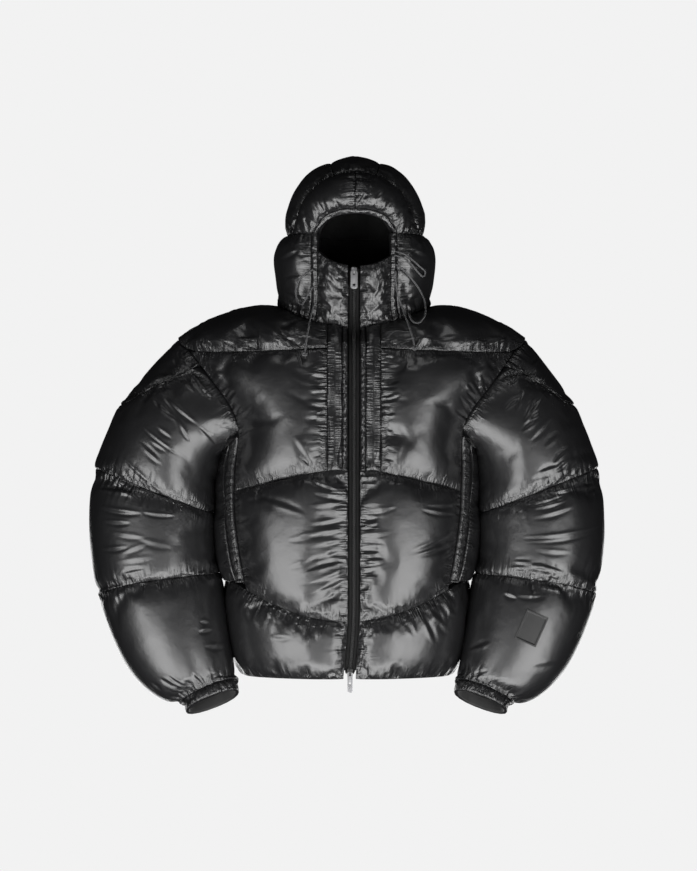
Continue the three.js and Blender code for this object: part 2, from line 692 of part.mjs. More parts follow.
// The hood, above its upper seam
const ARCH_SURFACE = { surface: archPoint, out: archOut, loft: BODY_LOFT };
const BRIM_COLUMNS = crowded(10).map((f) => f / 2);
const ARCH_COLUMNS = [...BRIM_COLUMNS, ...BRIM_COLUMNS.slice(0, -1).map((f) => 1 - f).reverse()];
const CROWN_FROM = 7;
const CROWN_OVER = BRIM_COLUMNS[CROWN_FROM];
const CROWN_ROWS = crowded(8);
panel("hood_rim", {
  ...ARCH_SURFACE,
  loft: 11,
  full: BODY_LOFT,
  reach: 5,
  from: () => 0,
  to: () => 1,
  low: () => 0,
  high: () => RIM_STEP,
  columns: ARCH_COLUMNS,
  rows: [0, 0.5, 1],
  shape: (spot) => (ARCH_COLUMNS.indexOf(spot.s) % 2 ? -2 : 0),
  drop: { left: 0, right: 0 },
});
for (const [label, side] of SIDES) {
  const over = (share) => () => (side > 0 ? 1 - share : share);
  panel(`brim_${label}`, {
    ...ARCH_SURFACE,
    from: over(0),
    to: over(0.5),
    low: () => RIM_STEP,
    high: () => BRIM_STEP,
    columns: crowded(10),
    rows: crowded(6),
    drop: { right: 0.35 },
  });
  panel(`crown_${label}`, {
    ...ARCH_SURFACE,
    from: over(0),
    to: over(CROWN_OVER),
    low: () => BRIM_STEP,
    high: () => ARCH_END,
    columns: BRIM_COLUMNS.slice(0, CROWN_FROM + 1).map((f) => f / CROWN_OVER),
    rows: CROWN_ROWS,
    drop: { right: 0.6 },
  });
}
panel("crown_middle", {
  ...ARCH_SURFACE,
  from: () => CROWN_OVER,
  to: () => 1 - CROWN_OVER,
  low: () => BRIM_STEP,
  high: () => ARCH_END,
  columns: ARCH_COLUMNS.slice(CROWN_FROM, -CROWN_FROM).map((f) => (f - CROWN_OVER) / (1 - 2 * CROWN_OVER)),
  rows: CROWN_ROWS,
  drop: { left: 0.6, right: 0.6 },
});

// The sleeves
function sleeveTube(around, ring, side) {
  const get = (column) => read(SLEEVE, "ring", column, ring);
  const turn = (2 * Math.PI * around) / LOOP_ALL;
  const across = power(Math.cos(turn), SQUARE_UP) / 2;
  const ahead = power(Math.sin(turn), SQUARE_UP);
  const x = (get("outX") + get("inX")) / 2 + across * (get("outX") - get("inX"));
  const z = (get("outZ") + get("inZ")) / 2 + across * (get("outZ") - get("inZ"));
  return new THREE.Vector3(side * x + get("shift"), get("y") - ahead * get("deep"), z + ahead * get("lift"));
}
const loopSpot = (k) => LOOP[((k % LOOP_ALL) + LOOP_ALL) % LOOP_ALL];
function loopPoint(around, side) {
  const point = (k) => bodyPoint(side * loopSpot(k)[0], loopSpot(k)[1]);
  const k = Math.floor(around);
  return point(k).lerp(point(k + 1), around - k);
}
function loopOut(around, side) {
  const out = (k) => bodyOut(side * loopSpot(k)[0], loopSpot(k)[1]);
  const k = Math.floor(around);
  return out(k).lerp(out(k + 1), around - k);
}
function sleevePoint(around, ring, side) {
  const point = sleeveTube(around, ring, side);
  const left = 1 - THREE.MathUtils.smoothstep(ring, 0, 1);
  if (left > 0) point.addScaledVector(loopPoint(around, side).sub(sleeveTube(around, 0, side)), left);
  return point;
}
function sleeveOut(around, ring, side) {
  const surface = (a, b) => sleevePoint(a, b, side);
  const own = outward(surface, around, clamp(ring, 0.05, SLEEVE_END - 0.05), -side * 0.6, -0.05);
  const blend = THREE.MathUtils.smoothstep(ring, 0, 0.5);
  return blend === 1 ? own : loopOut(around, side).lerp(own, blend).normalize();
}

// Each length of sleeve runs between two stops, rings that may wander along the way around.
// Sink is how far the filling falls to its seam at each stop.
const fromTop = (around) => Math.min(Math.abs(around), LOOP_ALL - Math.abs(around));
const atTop = (around) => Math.cos((2 * Math.PI * around) / LOOP_ALL);
const still = (ring) => () => ring;
const FOREARM = (around) => 4.42 + 0.5 * (0.5 + 0.5 * atTop(around)) ** 1.5;
const ELBOW = still(2.42);

// The cap lies over the shoulder and runs out to a point at each end, on the armhole.
const CAP_END = 3;
const CAP = table(
  "around ring",
  [0, 1.25],
  [1, 1.22],
  [2, 1.02],
  [2.5, 0.5],
  [CAP_END, 0.06],
);
const capSeam = (around) => (fromTop(around) > CAP_END ? 0 : read(CAP, "around", "ring", fromTop(around)));
const capColumns = CAP.map((row) => row.around);
const CAP_COLUMNS = [...capColumns.slice(1).map((around) => -around).reverse(), ...capColumns];
const SLEEVE_COLUMNS = [
  ...capColumns,
  ...even(LOOP_ALL).map((f) => Math.round(f * LOOP_ALL)).slice(CAP_END + 1, -CAP_END - 1),
  ...capColumns.slice(1).map((around) => LOOP_ALL - around).reverse(),
];

// The seams are shallow along the sleeve's outer and inner edges, where the cloth is stretched.
const seamSink = (around) => 1 - 0.7 * Math.abs(atTop(around)) ** 1.5;
const capSink = (around) => 0.8 * seamSink(around);
function armholeSink(around) {
  if (fromTop(around) < LOOP_YOKE) return 0.25;
  return fromTop(around) > LOOP_CORNER ? 0.6 : 1;
}
const upperSink = (around) => (fromTop(around) > CAP_END ? armholeSink(around) : capSink(around));
const SLEEVE_LENGTHS = [
  {
    name: "sleeve_cap",
    columns: CAP_COLUMNS,
    stops: [still(0), capSeam],
    sink: [armholeSink, capSink],
    rows: 5,
  },
  { name: "sleeve_upper", stops: [capSeam, ELBOW], sink: [upperSink, seamSink], rows: 6 },
  { name: "sleeve_middle", stops: [ELBOW, FOREARM], sink: [seamSink, seamSink], rows: 5 },
  { name: "sleeve_lower", stops: [FOREARM, still(CUFF_RING)], sink: [seamSink, still(1)], rows: 6 },
];
const sleeveFull = (ring) => read(SLEEVE, "ring", "full", ring);

function sleeveLine({ stops, sink, rows }, around, side) {
  const ringAt = (row) => mix(stops[0](around), stops[1](around), row);
  const shares = crowded(rows);
  const points = shares.map((row) => sleevePoint(around, ringAt(row), side));
  const along = [0];
  for (let i = 1; i <= rows; i += 1) along.push(along[i - 1] + points[i].distanceTo(points[i - 1]));
  const end = GAP / 2 / along[rows];
  return shares.map((row, i) => {
    const sunk = (distance, j) => 1 - sink[j](around) * (1 - rise(distance));
    const share = sunk(along[i], 0) * sunk(along[rows] - along[i], 1);
    return { around, ring: ringAt(clamp(row, end, 1 - end)), share };
  });
}

function sleeveLength(spec, label, side) {
  const { name, columns = SLEEVE_COLUMNS } = spec;
  const lines = columns.map((around) => sleeveLine(spec, around, side));
  const skin = (depth) =>
    lines[0].map((_, r) =>
      lines.map((line) => {
        const { around, ring, share } = line[r];
        const full = sleeveFull(ring);
        const point = sleevePoint(around, ring, side);
        return point.addScaledVector(sleeveOut(around, ring, side), -depth(full, share));
      }),
    );
  const inner = skin((full) => full);
  const outer = skin((full, share) => full - (SEAM + (full - SEAM) * share));
  add(`${name}_${label}`, wall(outer, inner, columns === SLEEVE_COLUMNS), cloth);
}

// The gathered cuff
const CUFF_GATHERS = 18;
const CUFF_ROWS = [0.03, 0.35, 1];
function cuff(label, side) {
  const skin = (depth) =>
    CUFF_ROWS.map((row) =>
      even(CUFF_GATHERS * 2).slice(0, -1).map((f, i) => {
        const ring = mix(CUFF_RING, SLEEVE_END, row);
        const around = f * LOOP_ALL;
        const point = sleevePoint(around, ring, side);
        return point.addScaledVector(sleeveOut(around, ring, side), -depth(ring, row, i));
      }),
    );
  const inner = skin((ring) => sleeveFull(ring));
  const outer = skin((ring, row, i) => (row < 0.1 ? sleeveFull(ring) - SEAM : (i % 2) * 2.2));
  add(`cuff_${label}`, wall(outer, inner, true), cloth);
}

for (const [label, side] of SIDES) {
  for (const spec of SLEEVE_LENGTHS) sleeveLength(spec, label, side);
  cuff(label, side);
}

// The zip runs from the hem to the rim of the chin, sunk to the lining between the edgings.
const ZIP_TOP = faceRim(1);
const zipStops = [
  ...even(16).map((f) => [bodyPoint, bodyOut, bodyTurn, mix(HEM_LEVEL + 2, NECK_LEVEL, f)]),
  ...even(5).slice(1).map((f) => [hoodPoint, hoodOut, hoodTurn, mix(0, ZIP_TOP - 0.03, f)]),
];
function zipStrip(name, xs, near, far) {
  const skin = (depth) =>
    zipStops.map(([surface, out, turnAt, level]) =>
      xs.map((x) => {
        const turn = turnAt(x, level);
        return surface(turn, level).addScaledVector(out(turn, level), -depth);
      }),
    );
  return add(name, wall(skin(near), skin(far)), zipBlack);
}
const CHAIN_HALF = 2.2;
const TAPE_NEAR = 18;
const TAPE_FAR = 19.6;
const CHAIN_NEAR = 16.6;
for (const [label, side] of SIDES) {
  const tape = [CHAIN_HALF + GAP, ZIP_HALF - GAP].map((x) => side * x);
  zipStrip(`zip_tape_${label}`, tape, TAPE_NEAR, TAPE_FAR);
}
zipStrip("zip_chain", [-CHAIN_HALF, CHAIN_HALF], CHAIN_NEAR, TAPE_FAR);

// The sliders and their pull tabs. Each is drawn at its hinge, which runs across the zip.
const wasm = await Module();
wasm.setup();
function joined(geometries) {
  const solids = geometries.map((geometry) => {
    const merged = mergeVertices(geometry.deleteAttribute("normal").deleteAttribute("uv"), 1e-4);
    const mesh = new wasm.Mesh({
      numProp: 3,
      vertProperties: new Float32Array(merged.attributes.position.array),
      triVerts: new Uint32Array(merged.index.array),
    });
    mesh.merge();
    return new wasm.Manifold(mesh);
  });
  const { vertProperties, triVerts } = wasm.Manifold.union(solids).getMesh();
  const geometry = new THREE.BufferGeometry();
  geometry.setAttribute("position", new THREE.BufferAttribute(new Float32Array(vertProperties), 3));
  return geometry.setIndex(new THREE.BufferAttribute(new Uint32Array(triVerts), 1));
}

// A side view (depth, height) made into a solid across the zip.
function acrossZip(outline, width, hole) {
  const shape = new THREE.Shape(outline.map(([y, z]) => new THREE.Vector2(y, z)));
  if (hole) shape.holes.push(new THREE.Path(hole.map(([y, z]) => new THREE.Vector2(y, z))));
  const geometry = new THREE.ExtrudeGeometry(shape, { depth: width, bevelEnabled: false });
  geometry.translate(0, 0, -width / 2);
  // The outline's first axis becomes depth and its second height.
  geometry.applyMatrix4(new THREE.Matrix4().makeBasis(
    new THREE.Vector3(0, 1, 0),
    new THREE.Vector3(0, 0, 1),
    new THREE.Vector3(1, 0, 0),
  ));
  return geometry;
}

const PLATE = { near: 1.5, far: 3.3, half: 6, width: 9.5 };
const BRIDGE = { out: -3.2, inside: -1.7, post: 5, postInside: 3.6, width: 2.4 };
function slider(name, hinge) {
  const plate = acrossZip(
    [
      [PLATE.near, -PLATE.half],
      [PLATE.far, -PLATE.half],
      [PLATE.far, PLATE.half],
      [PLATE.near, PLATE.half],
    ],
    PLATE.width,
  );
  const bridge = acrossZip(
    [
      [BRIDGE.out, -BRIDGE.post],
      [PLATE.near + 0.5, -BRIDGE.post],
      [PLATE.near + 0.5, BRIDGE.post],
      [BRIDGE.out, BRIDGE.post],
    ],
    BRIDGE.width,
    [
      [BRIDGE.inside, -BRIDGE.postInside],
      [BRIDGE.inside, BRIDGE.postInside],
      [PLATE.near, BRIDGE.postInside],
      [PLATE.near, -BRIDGE.postInside],
    ],
  );
  const geometry = joined([plate, bridge]);
  geometry.translate(hinge.x, hinge.y, hinge.z);
  return add(name, geometry, metal);
}

// A pull tab hangs from a bar under the bridge. The bridge's post stands in the slot below the bar.
const TAB = { bar: 0.8, slotWidth: 4, slotEnd: 6.6, thick: 1.6 };
const EYE_SIDES = 12;
function pullTab(name, hinge, { width, length, holeAt, holeRadius }) {
  const shape = new THREE.Shape();
  const round = width / 2;
  const shoulder = round - 2.4;
  shape.moveTo(-shoulder, TAB.bar);
  shape.lineTo(shoulder, TAB.bar);
  shape.lineTo(round, -2);
  shape.lineTo(round, -length + 3);
  shape.lineTo(round - 2.5, -length);
  shape.lineTo(-round + 2.5, -length);
  shape.lineTo(-round, -length + 3);
  shape.lineTo(-round, -2);
  const slot = new THREE.Path();
  slot.moveTo(-TAB.slotWidth / 2, -TAB.bar);
  slot.lineTo(-TAB.slotWidth / 2, -TAB.slotEnd);
  slot.lineTo(TAB.slotWidth / 2, -TAB.slotEnd);
  slot.lineTo(TAB.slotWidth / 2, -TAB.bar);
  shape.holes.push(slot);
  const spokes = even(EYE_SIDES).slice(1).map((f) => 2 * Math.PI * f);
  const rim = (turn) => new THREE.Vector2(holeRadius * Math.cos(turn), holeAt + holeRadius * Math.sin(turn));
  shape.holes.push(new THREE.Path(spokes.map(rim)));
  const geometry = new THREE.ExtrudeGeometry(shape, { depth: TAB.thick, bevelEnabled: false });
  geometry.translate(0, 0, -TAB.thick / 2);
  geometry.rotateX(Math.PI / 2);
  geometry.translate(hinge.x, hinge.y, hinge.z);
  return add(name, geometry, metal);
}

function onZip(surface, out, turnAt, level) {
  const turn = turnAt(0, level);
  return surface(turn, level).addScaledVector(out(turn, level), -(CHAIN_NEAR - GAP) + PLATE.far + 0.4);
}
const UPPER_HINGE = onZip(hoodPoint, hoodOut, hoodTurn, ZIP_TOP - 0.2);
const LOWER_HINGE = onZip(bodyPoint, bodyOut, bodyTurn, HEM_LEVEL + 11);
slider("upper_slider", UPPER_HINGE);
pullTab("upper_pull_tab", UPPER_HINGE, { width: 12, length: 31, holeAt: -24, holeRadius: 2.2 });
slider("lower_slider", LOWER_HINGE);
pullTab("lower_pull_tab", LOWER_HINGE, { width: 9, length: 35, holeAt: -19, holeRadius: 1.8 });

// Places on the outside, found by where they stand in the front view.
function findSpot(surface, { guess, step, most, low, high }, x, z) {
  let [a, b] = guess;
  for (let i = 0; i < 30; i += 1) {
    const here = surface(a, b);
    const alongA = surface(a + step[0], b).sub(here).divideScalar(step[0]);
    const alongB = surface(a, b + step[1]).sub(here).divideScalar(step[1]);
    const scale = alongA.x * alongB.z - alongA.z * alongB.x;
    a += clamp(((x - here.x) * alongB.z - (z - here.z) * alongB.x) / scale, -most[0], most[0]);
    b += clamp(((z - here.z) * alongA.x - (x - here.x) * alongA.z) / scale, -most[1], most[1]);
    b = clamp(b, low, high);
  }
  return [a, b];
}

// The label on the wearer's left sleeve: a thin patch lying on the filled cloth.
const LABEL = { x: 304, z: -529, width: 40, length: 55, lean: 0.42, near: 1.6, far: 0.3 };
const LABEL_SEARCH = { guess: [5.6, 5.7], step: [0.05, 0.02], most: [1, 0.5], low: 1, high: 9 };
const labelSurface = (a, b) => sleevePoint(a, b, 1);
function sleeveLabel() {
  const [columns, rows] = [even(4), even(5)];
  const spots = rows.map((t) =>
    columns.map((s) => {
      const across = (s - 0.5) * LABEL.width;
      const along = (t - 0.5) * LABEL.length;
      const x = LABEL.x + across * Math.cos(LABEL.lean) + along * Math.sin(LABEL.lean);
      const z = LABEL.z - across * Math.sin(LABEL.lean) + along * Math.cos(LABEL.lean);
      return findSpot(labelSurface, LABEL_SEARCH, x, z);
    }),
  );
  const lifted = ([a, b], lift) => sleevePoint(a, b, 1).addScaledVector(sleeveOut(a, b, 1), lift);
  const skin = (lift) => spots.map((line) => line.map((spot) => lifted(spot, lift)));
  return add("sleeve_label", wall(skin(LABEL.near), skin(LABEL.far)), mattCloth);
}
sleeveLabel();

// The drawcords hang from the channel, outside the filled cloth. Each row is x, height and how far out.
const ON_BODY = { guess: [20, -20], step: [0.1, 0.1], most: [8, 20], low: -200, high: NECK_LEVEL - 0.2 };
const ON_HOOD = { guess: [30, 1.5], step: [0.1, 0.01], most: [8, 0.4], low: 0.01, high: HOOD_TOP - 0.02 };
function onFront([x, z, lift]) {
  const neckZ = bodyPoint(bodyTurn(x, NECK_LEVEL), NECK_LEVEL).z;
  const onHood = z > neckZ;
  const surface = onHood ? hoodPoint : bodyPoint;
  const out = onHood ? hoodOut : bodyOut;
  const search = onHood ? ON_HOOD : ON_BODY;
  const guess = [Math.sign(x) * search.guess[0], search.guess[1]];
  const [turn, level] = findSpot(surface, { ...search, guess }, x, z);
  return surface(turn, level).addScaledVector(out(turn, level), lift);
}
const CORD_QUARTERS = 4; // two sides to each
const CORD_STEP = 2.6 * CORD_DIAMETER;
function cord(name, stops) {
  const path = new THREE.CatmullRomCurve3(stops.map(onFront), false, "centripetal");
  const circle = new THREE.Shape().absarc(0, 0, CORD_DIAMETER / 2, 0, 2 * Math.PI, false);
  const steps = Math.ceil(path.getLength() / CORD_STEP);
  const settings = { steps, extrudePath: path, curveSegments: CORD_QUARTERS };
  const geometry = new THREE.ExtrudeGeometry(circle, settings);
  return add(name, geometry, cordBlack);
}
const SEATED = -9.1; // lying on the channel
const CORDS = {
  drawcord_right: [
    [-74, 26, SEATED - 1],
    [-74.5, 15, -7],
    [-76, 2, -1],
    [-78, -16, 2],
    [-81, -34, 2.2],
    [-84, -58, 2.2],
  ],
  cord_loop_right: [
    [-75, 86, SEATED],
    [-84, 80, -3],
    [-95, 68, 1.5],
    [-99, 50, 2.5],
    [-95, 32, 3],
    [-88, 27, 3.5],
    [-83, 36, 2],
    [-80, 47, -4],
    [-75, 56, SEATED],
  ],
  drawcord_left: [
    [75, 84, SEATED],
    [76, 62, -8.5],
    [79.5, 40, -6],
    [85, 20, -2],
    [89, 4, 1.5],
    [94, -12, 2.2],
    [98, -26, 2.2],
    [104, -48, 2.2],
  ],
  cord_loop_left: [
    [75, 96, SEATED - 1.3],
    [84, 88, -2],
    [98, 72, 2],
    [111, 55, 2.5],
    [120, 36, 3],
    [123, 14, 4.5],
    [118, -3, 6],
    [108, -11, 6.5],
    [99, -6, 6.5],
    [94, 6, 6.5],
  ],
  small_loop_left: [
    [74, 112, SEATED - 1.1],
    [84, 108, -2],
    [98, 96, 2.5],
    [110, 82, 3],
    [118, 77, 3.5],
    [120, 85, 4],
    [111, 93, 4.5],
    [98, 104, 4.5],
    [86, 114, 1],
    [75, 119, SEATED - 1.1],
  ],
};
for (const [name, stops] of Object.entries(CORDS)) cord(name, stops);

export default jacket;
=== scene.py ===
# Dresses a filled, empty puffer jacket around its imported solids: padded cloth, zip, pulls, cords, studio.
import json
import math

import bmesh
import bpy
from bpy.props import (
    FloatProperty,
    FloatVectorProperty,
    IntProperty,
    PointerProperty,
)
from mathutils import Matrix, Vector, noise
from mathutils.bvhtree import BVHTree
from mathutils.kdtree import KDTree


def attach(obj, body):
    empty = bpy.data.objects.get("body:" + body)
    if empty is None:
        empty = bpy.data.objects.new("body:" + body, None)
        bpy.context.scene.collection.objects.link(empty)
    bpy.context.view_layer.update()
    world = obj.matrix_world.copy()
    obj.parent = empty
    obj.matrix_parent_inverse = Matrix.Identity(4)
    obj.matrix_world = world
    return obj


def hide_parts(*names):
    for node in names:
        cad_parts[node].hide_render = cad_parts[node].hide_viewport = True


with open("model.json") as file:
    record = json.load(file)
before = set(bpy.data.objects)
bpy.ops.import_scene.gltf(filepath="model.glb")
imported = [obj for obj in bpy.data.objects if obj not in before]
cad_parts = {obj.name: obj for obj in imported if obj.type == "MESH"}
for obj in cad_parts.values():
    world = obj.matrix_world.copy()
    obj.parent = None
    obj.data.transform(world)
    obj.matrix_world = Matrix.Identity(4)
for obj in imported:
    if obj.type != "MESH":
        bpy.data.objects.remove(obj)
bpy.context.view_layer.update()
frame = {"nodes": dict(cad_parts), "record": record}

bl_info = {
    "name": "Puffer Jacket",
    "version": (1, 0, 0),
    "blender": (4, 5, 0),
    "location": "3D View > Sidebar > Jacket",
    "description": "Dresses the packed solids of a hooded puffer jacket",
    "category": "Object",
}

BODY = "jacket"
MERGE = 2e-5
LOOSE_MERGES = {"sleeve_cap": 1.5e-3, "crown_left": 1e-3, "crown_right": 1e-3, "yoke_front": 3.5e-3}
SEAM_MAP = "seam_map"
SIDES = ("left", "right")


def both(*names):
    return [f"{name}_{side}" for name in names for side in SIDES]


TORSO = both("yoke_front", "chest", "belly", "hem_front", "side_panel")
TORSO += ["yoke_back", "back_upper", "back_lower", "hem_back"]
SLEEVES = both("sleeve_cap", "sleeve_upper", "sleeve_middle", "sleeve_lower")
HOOD = both("chin", "cheek", "brim", "crown") + ["collar_back", "crown_middle"]
TORSO_BANDS = both("pocket_welt", "zip_edging", "chest_band")
HOOD_BANDS = both("hood_channel") + ["hood_rim"]
CUFFS = both("cuff")
SMOOTH_BANDS = ("chest_band", "hood_channel", "hood_rim")


class JacketCloth(bpy.types.PropertyGroup):
    """How full the padded panels are and how much spare cloth their seams gather."""

    seam_growth: FloatProperty(
        name="Spare cloth at the seams",
        description="Share by which the cloth next to a seam is wider than its place",
        default=0.26, min=0, max=0.4, subtype="FACTOR",
    )
    middle_growth: FloatProperty(
        name="Spare cloth in the middle",
        description="Share by which the cloth away from the seams is wider than its place",
        default=0.032, min=0, max=0.4, subtype="FACTOR",
    )
    pressure: FloatProperty(
        name="Pressure", description="How hard the filling pushes the cloth out",
        default=4.5, min=0, max=20,
    )
    steps: IntProperty(
        name="Steps", description="Steps of the cloth simulation", default=22, min=1, max=60,
    )
    most_moved: FloatProperty(
        name="Most moved", description="Furthest that the cloth may leave its solid",
        default=0.013, unit="LENGTH", subtype="DISTANCE",
    )
    seam_rise: FloatProperty(
        name="Seam rise", description="How far a seam stands out from the lining beyond its solid",
        default=0.0065, unit="LENGTH", subtype="DISTANCE",
    )
    pucker_depth: FloatProperty(
        name="Pucker depth", description="Depth of the small puckers that run out from a seam",
        default=0.0016, unit="LENGTH", subtype="DISTANCE",
    )
    pucker_pitch: FloatProperty(
        name="Pucker pitch", description="Distance from one seam pucker to the next",
        default=0.0125, unit="LENGTH", subtype="DISTANCE",
    )


class JacketFinish(bpy.types.PropertyGroup):
    """Colours and gloss of the jacket's materials."""

    shell_colour: FloatVectorProperty(
        name="Shell colour", description="Colour of the glossy outer cloth", subtype="COLOR",
        size=4, default=(0.008, 0.008, 0.0085, 1), min=0, max=1,
    )
    shell_roughness: FloatProperty(
        name="Shell roughness", description="Roughness of the outer cloth", default=0.33, min=0, max=1,
        subtype="FACTOR",
    )
    lining_colour: FloatVectorProperty(
        name="Lining colour", description="Colour of the lining", subtype="COLOR",
        size=4, default=(0.012, 0.012, 0.012, 1), min=0, max=1,
    )
    metal_colour: FloatVectorProperty(
        name="Metal colour", description="Colour of the sliders and pull tabs", subtype="COLOR",
        size=4, default=(0.2, 0.2, 0.205, 1), min=0, max=1,
    )
    cord_colour: FloatVectorProperty(
        name="Cord colour", description="Colour of the drawcords", subtype="COLOR",
        size=4, default=(0.03, 0.03, 0.032, 1), min=0, max=1,
    )


class JacketZip(bpy.types.PropertyGroup):
    """Sizes of the front zip's teeth."""

    pitch: FloatProperty(
        name="Tooth pitch", description="Distance between two teeth on one side",
        default=0.0030, unit="LENGTH", subtype="DISTANCE",
    )
    tooth_width: FloatProperty(
        name="Tooth width", description="How far a tooth reaches across the zip",
        default=0.0042, unit="LENGTH", subtype="DISTANCE",
    )


class JacketCords(bpy.types.PropertyGroup):
    """Sizes of the drawcords."""

    diameter: FloatProperty(
        name="Diameter", description="Thickness of a drawcord",
        default=0.003, unit="LENGTH", subtype="DISTANCE",
    )
    knot: FloatProperty(
        name="Knot", description="Width of the knot at a drawcord's end", default=0.0085, unit="LENGTH",
        subtype="DISTANCE",
    )


def settings(name):
    return getattr(bpy.context.scene, f"jacket_{name}")


# Materials
def new_material(name):
    material = bpy.data.materials.new(name)
    material.use_nodes = True
    return material, material.node_tree, material.node_tree.nodes["Principled BSDF"]


def node(tree, kind, **values):
    made = tree.nodes.new(kind)
    for key, value in values.items():
        if key in made.inputs:
            made.inputs[key].default_value = value
        else:
            setattr(made, key.lower(), value)
    return made


def noise_height(tree, scale, detail=3.0, stretch=(1, 1, 1)):
    """Noise on the object's own coordinates, as a height."""
    place = tree.nodes.new("ShaderNodeTexCoord")
    mapping = tree.nodes.new("ShaderNodeMapping")
    mapping.inputs["Scale"].default_value = stretch
    texture = node(tree, "ShaderNodeTexNoise", Scale=scale, Detail=detail, Roughness=0.55)
    tree.links.new(place.outputs["Object"], mapping.inputs["Vector"])
    tree.links.new(mapping.outputs["Vector"], texture.inputs["Vector"])
    return texture.outputs["Fac"]


def add_bump(tree, shader, height, distance, strength, under=None):
    bump = tree.nodes.new("ShaderNodeBump")
    bump.inputs["Distance"].default_value = distance
    bump.inputs["Strength"].default_value = strength
    tree.links.new(height, bump.inputs["Height"])
    if under is not None:
        tree.links.new(under.outputs["Normal"], bump.inputs["Normal"])
    tree.links.new(bump.outputs["Normal"], shader.inputs["Normal"])
    return bump


def vary_roughness(tree, shader, factor, low, high):
    spread = tree.nodes.new("ShaderNodeMapRange")
    spread.inputs["To Min"].default_value = low
    spread.inputs["To Max"].default_value = high
    tree.links.new(factor, spread.inputs["Value"])
    tree.links.new(spread.outputs["Result"], shader.inputs["Roughness"])


def math_node(tree, operation, first, second=None, clamp=False):
    """A maths node fed by sockets or plain numbers."""
    made = tree.nodes.new("ShaderNodeMath")
    made.operation = operation
    made.use_clamp = clamp
    for socket, value in zip(made.inputs, (first, second)):
        if isinstance(value, (int, float)):
            socket.default_value = value
        elif value is not None:
            tree.links.new(value, socket)
    return made.outputs["Value"]


def gather_height(tree, along_scale, out_scale, reach):
    """Sharp little valleys that run out from a seam and fade with distance from it."""
    where = tree.nodes.new("ShaderNodeUVMap")
    where.uv_map = SEAM_MAP
    parts = tree.nodes.new("ShaderNodeSeparateXYZ")
    tree.links.new(where.outputs["UV"], parts.inputs["Vector"])
    along, distance = parts.outputs["X"], parts.outputs["Y"]
    place = tree.nodes.new("ShaderNodeCombineXYZ")
    tree.links.new(math_node(tree, "MULTIPLY", along, along_scale), place.inputs["X"])
    tree.links.new(math_node(tree, "MULTIPLY", distance, out_scale), place.inputs["Y"])
    texture = node(tree, "ShaderNodeTexNoise", Scale=1.0, Detail=1.5, Roughness=0.5)
    tree.links.new(place.outputs["Vector"], texture.inputs["Vector"])
    ridge = math_node(tree, "ABSOLUTE", math_node(tree, "SUBTRACT", texture.outputs["Fac"], 0.5))
    spread = node(tree, "ShaderNodeTexNoise", Scale=1.0, Detail=1.0)
    wide = tree.nodes.new("ShaderNodeCombineXYZ")
    tree.links.new(math_node(tree, "MULTIPLY", along, along_scale * 0.3), wide.inputs["X"])
    tree.links.new(wide.outputs["Vector"], spread.inputs["Vector"])
    room = math_node(tree, "MULTIPLY", math_node(tree, "POWER", spread.outputs["Fac"], 2.0), reach * 4)
    left = math_node(tree, "SUBTRACT", 1.0, math_node(tree, "DIVIDE", distance, room), clamp=True)
    return math_node(tree, "MULTIPLY", ridge, math_node(tree, "POWER", left, 1.5))


def shell_cloth(name, along_scale, out_scale, reach, depth):
    """Glossy coated nylon: near black, softly crinkled, gathered at its seams."""
    finish = settings("finish")
    material, tree, shader = new_material(name)
    shader.inputs["Base Color"].default_value = finish.shell_colour
    shader.inputs["Coat Weight"].default_value = 0.25
    shader.inputs["Coat Roughness"].default_value = 0.22
    shader.inputs["Specular IOR Level"].default_value = 0.6
    vary_roughness(
        tree, shader, noise_height(tree, 38), finish.shell_roughness - 0.05, finish.shell_roughness + 0.06
    )
    broad = add_bump(tree, shader, noise_height(tree, 40, detail=2), 0.0022, 0.3)
    valleys = gather_height(tree, along_scale, out_scale, reach)
    gathers = add_bump(tree, shader, valleys, depth, 1.0, under=broad)
    add_bump(tree, shader, noise_height(tree, 210, detail=4), 0.0004, 0.3, under=gathers)
    return material


def make_shell_nylon():
    return shell_cloth("shell_nylon", 150, 14, 0.026, 0.008)


def make_gathered_nylon():
    return shell_cloth("gathered_nylon", 260, 90, 0.2, 0.006)


def make_lining():
    """Plain matt lining with soft vertical folds."""
    material, tree, shader = new_material("lining")
    shader.inputs["Base Color"].default_value = settings("finish").lining_colour
    shader.inputs["Sheen Weight"].default_value = 0.15
    shader.inputs["Sheen Roughness"].default_value = 0.5
    shader.inputs["Specular IOR Level"].default_value = 0.25
    vary_roughness(tree, shader, noise_height(tree, 60), 0.62, 0.75)
    folds = add_bump(tree, shader, noise_height(tree, 34, detail=1, stretch=(1, 1, 0.22)), 0.006, 0.8)
    add_bump(tree, shader, noise_height(tree, 900, detail=2), 0.0002, 0.3, under=folds)
    return material


def make_tape():
    """Woven zip tape: a fine herringbone of ribs."""
    material, tree, shader = new_material("zip_tape")
    shader.inputs["Base Color"].default_value = (0.005, 0.005, 0.005, 1)
    shader.inputs["Specular IOR Level"].default_value = 0.2
    vary_roughness(tree, shader, noise_height(tree, 200), 0.75, 0.9)
    place = tree.nodes.new("ShaderNodeTexCoord")
    wave = node(tree, "ShaderNodeTexWave", Scale=420.0, Distortion=1.2)
    wave.bands_direction = "DIAGONAL"
    tree.links.new(place.outputs["Object"], wave.inputs["Vector"])
    add_bump(tree, shader, wave.outputs["Fac"], 0.0003, 0.6)
    return material


def make_tooth():
    """Moulded zip teeth."""
    material, tree, shader = new_material("zip_tooth")
    shader.inputs["Base Color"].default_value = (0.006, 0.006, 0.006, 1)
    shader.inputs["Specular IOR Level"].default_value = 0.35
    vary_roughness(tree, shader, noise_height(tree, 500), 0.38, 0.5)
    add_bump(tree, shader, noise_height(tree, 1500), 0.0001, 0.2)
    return material


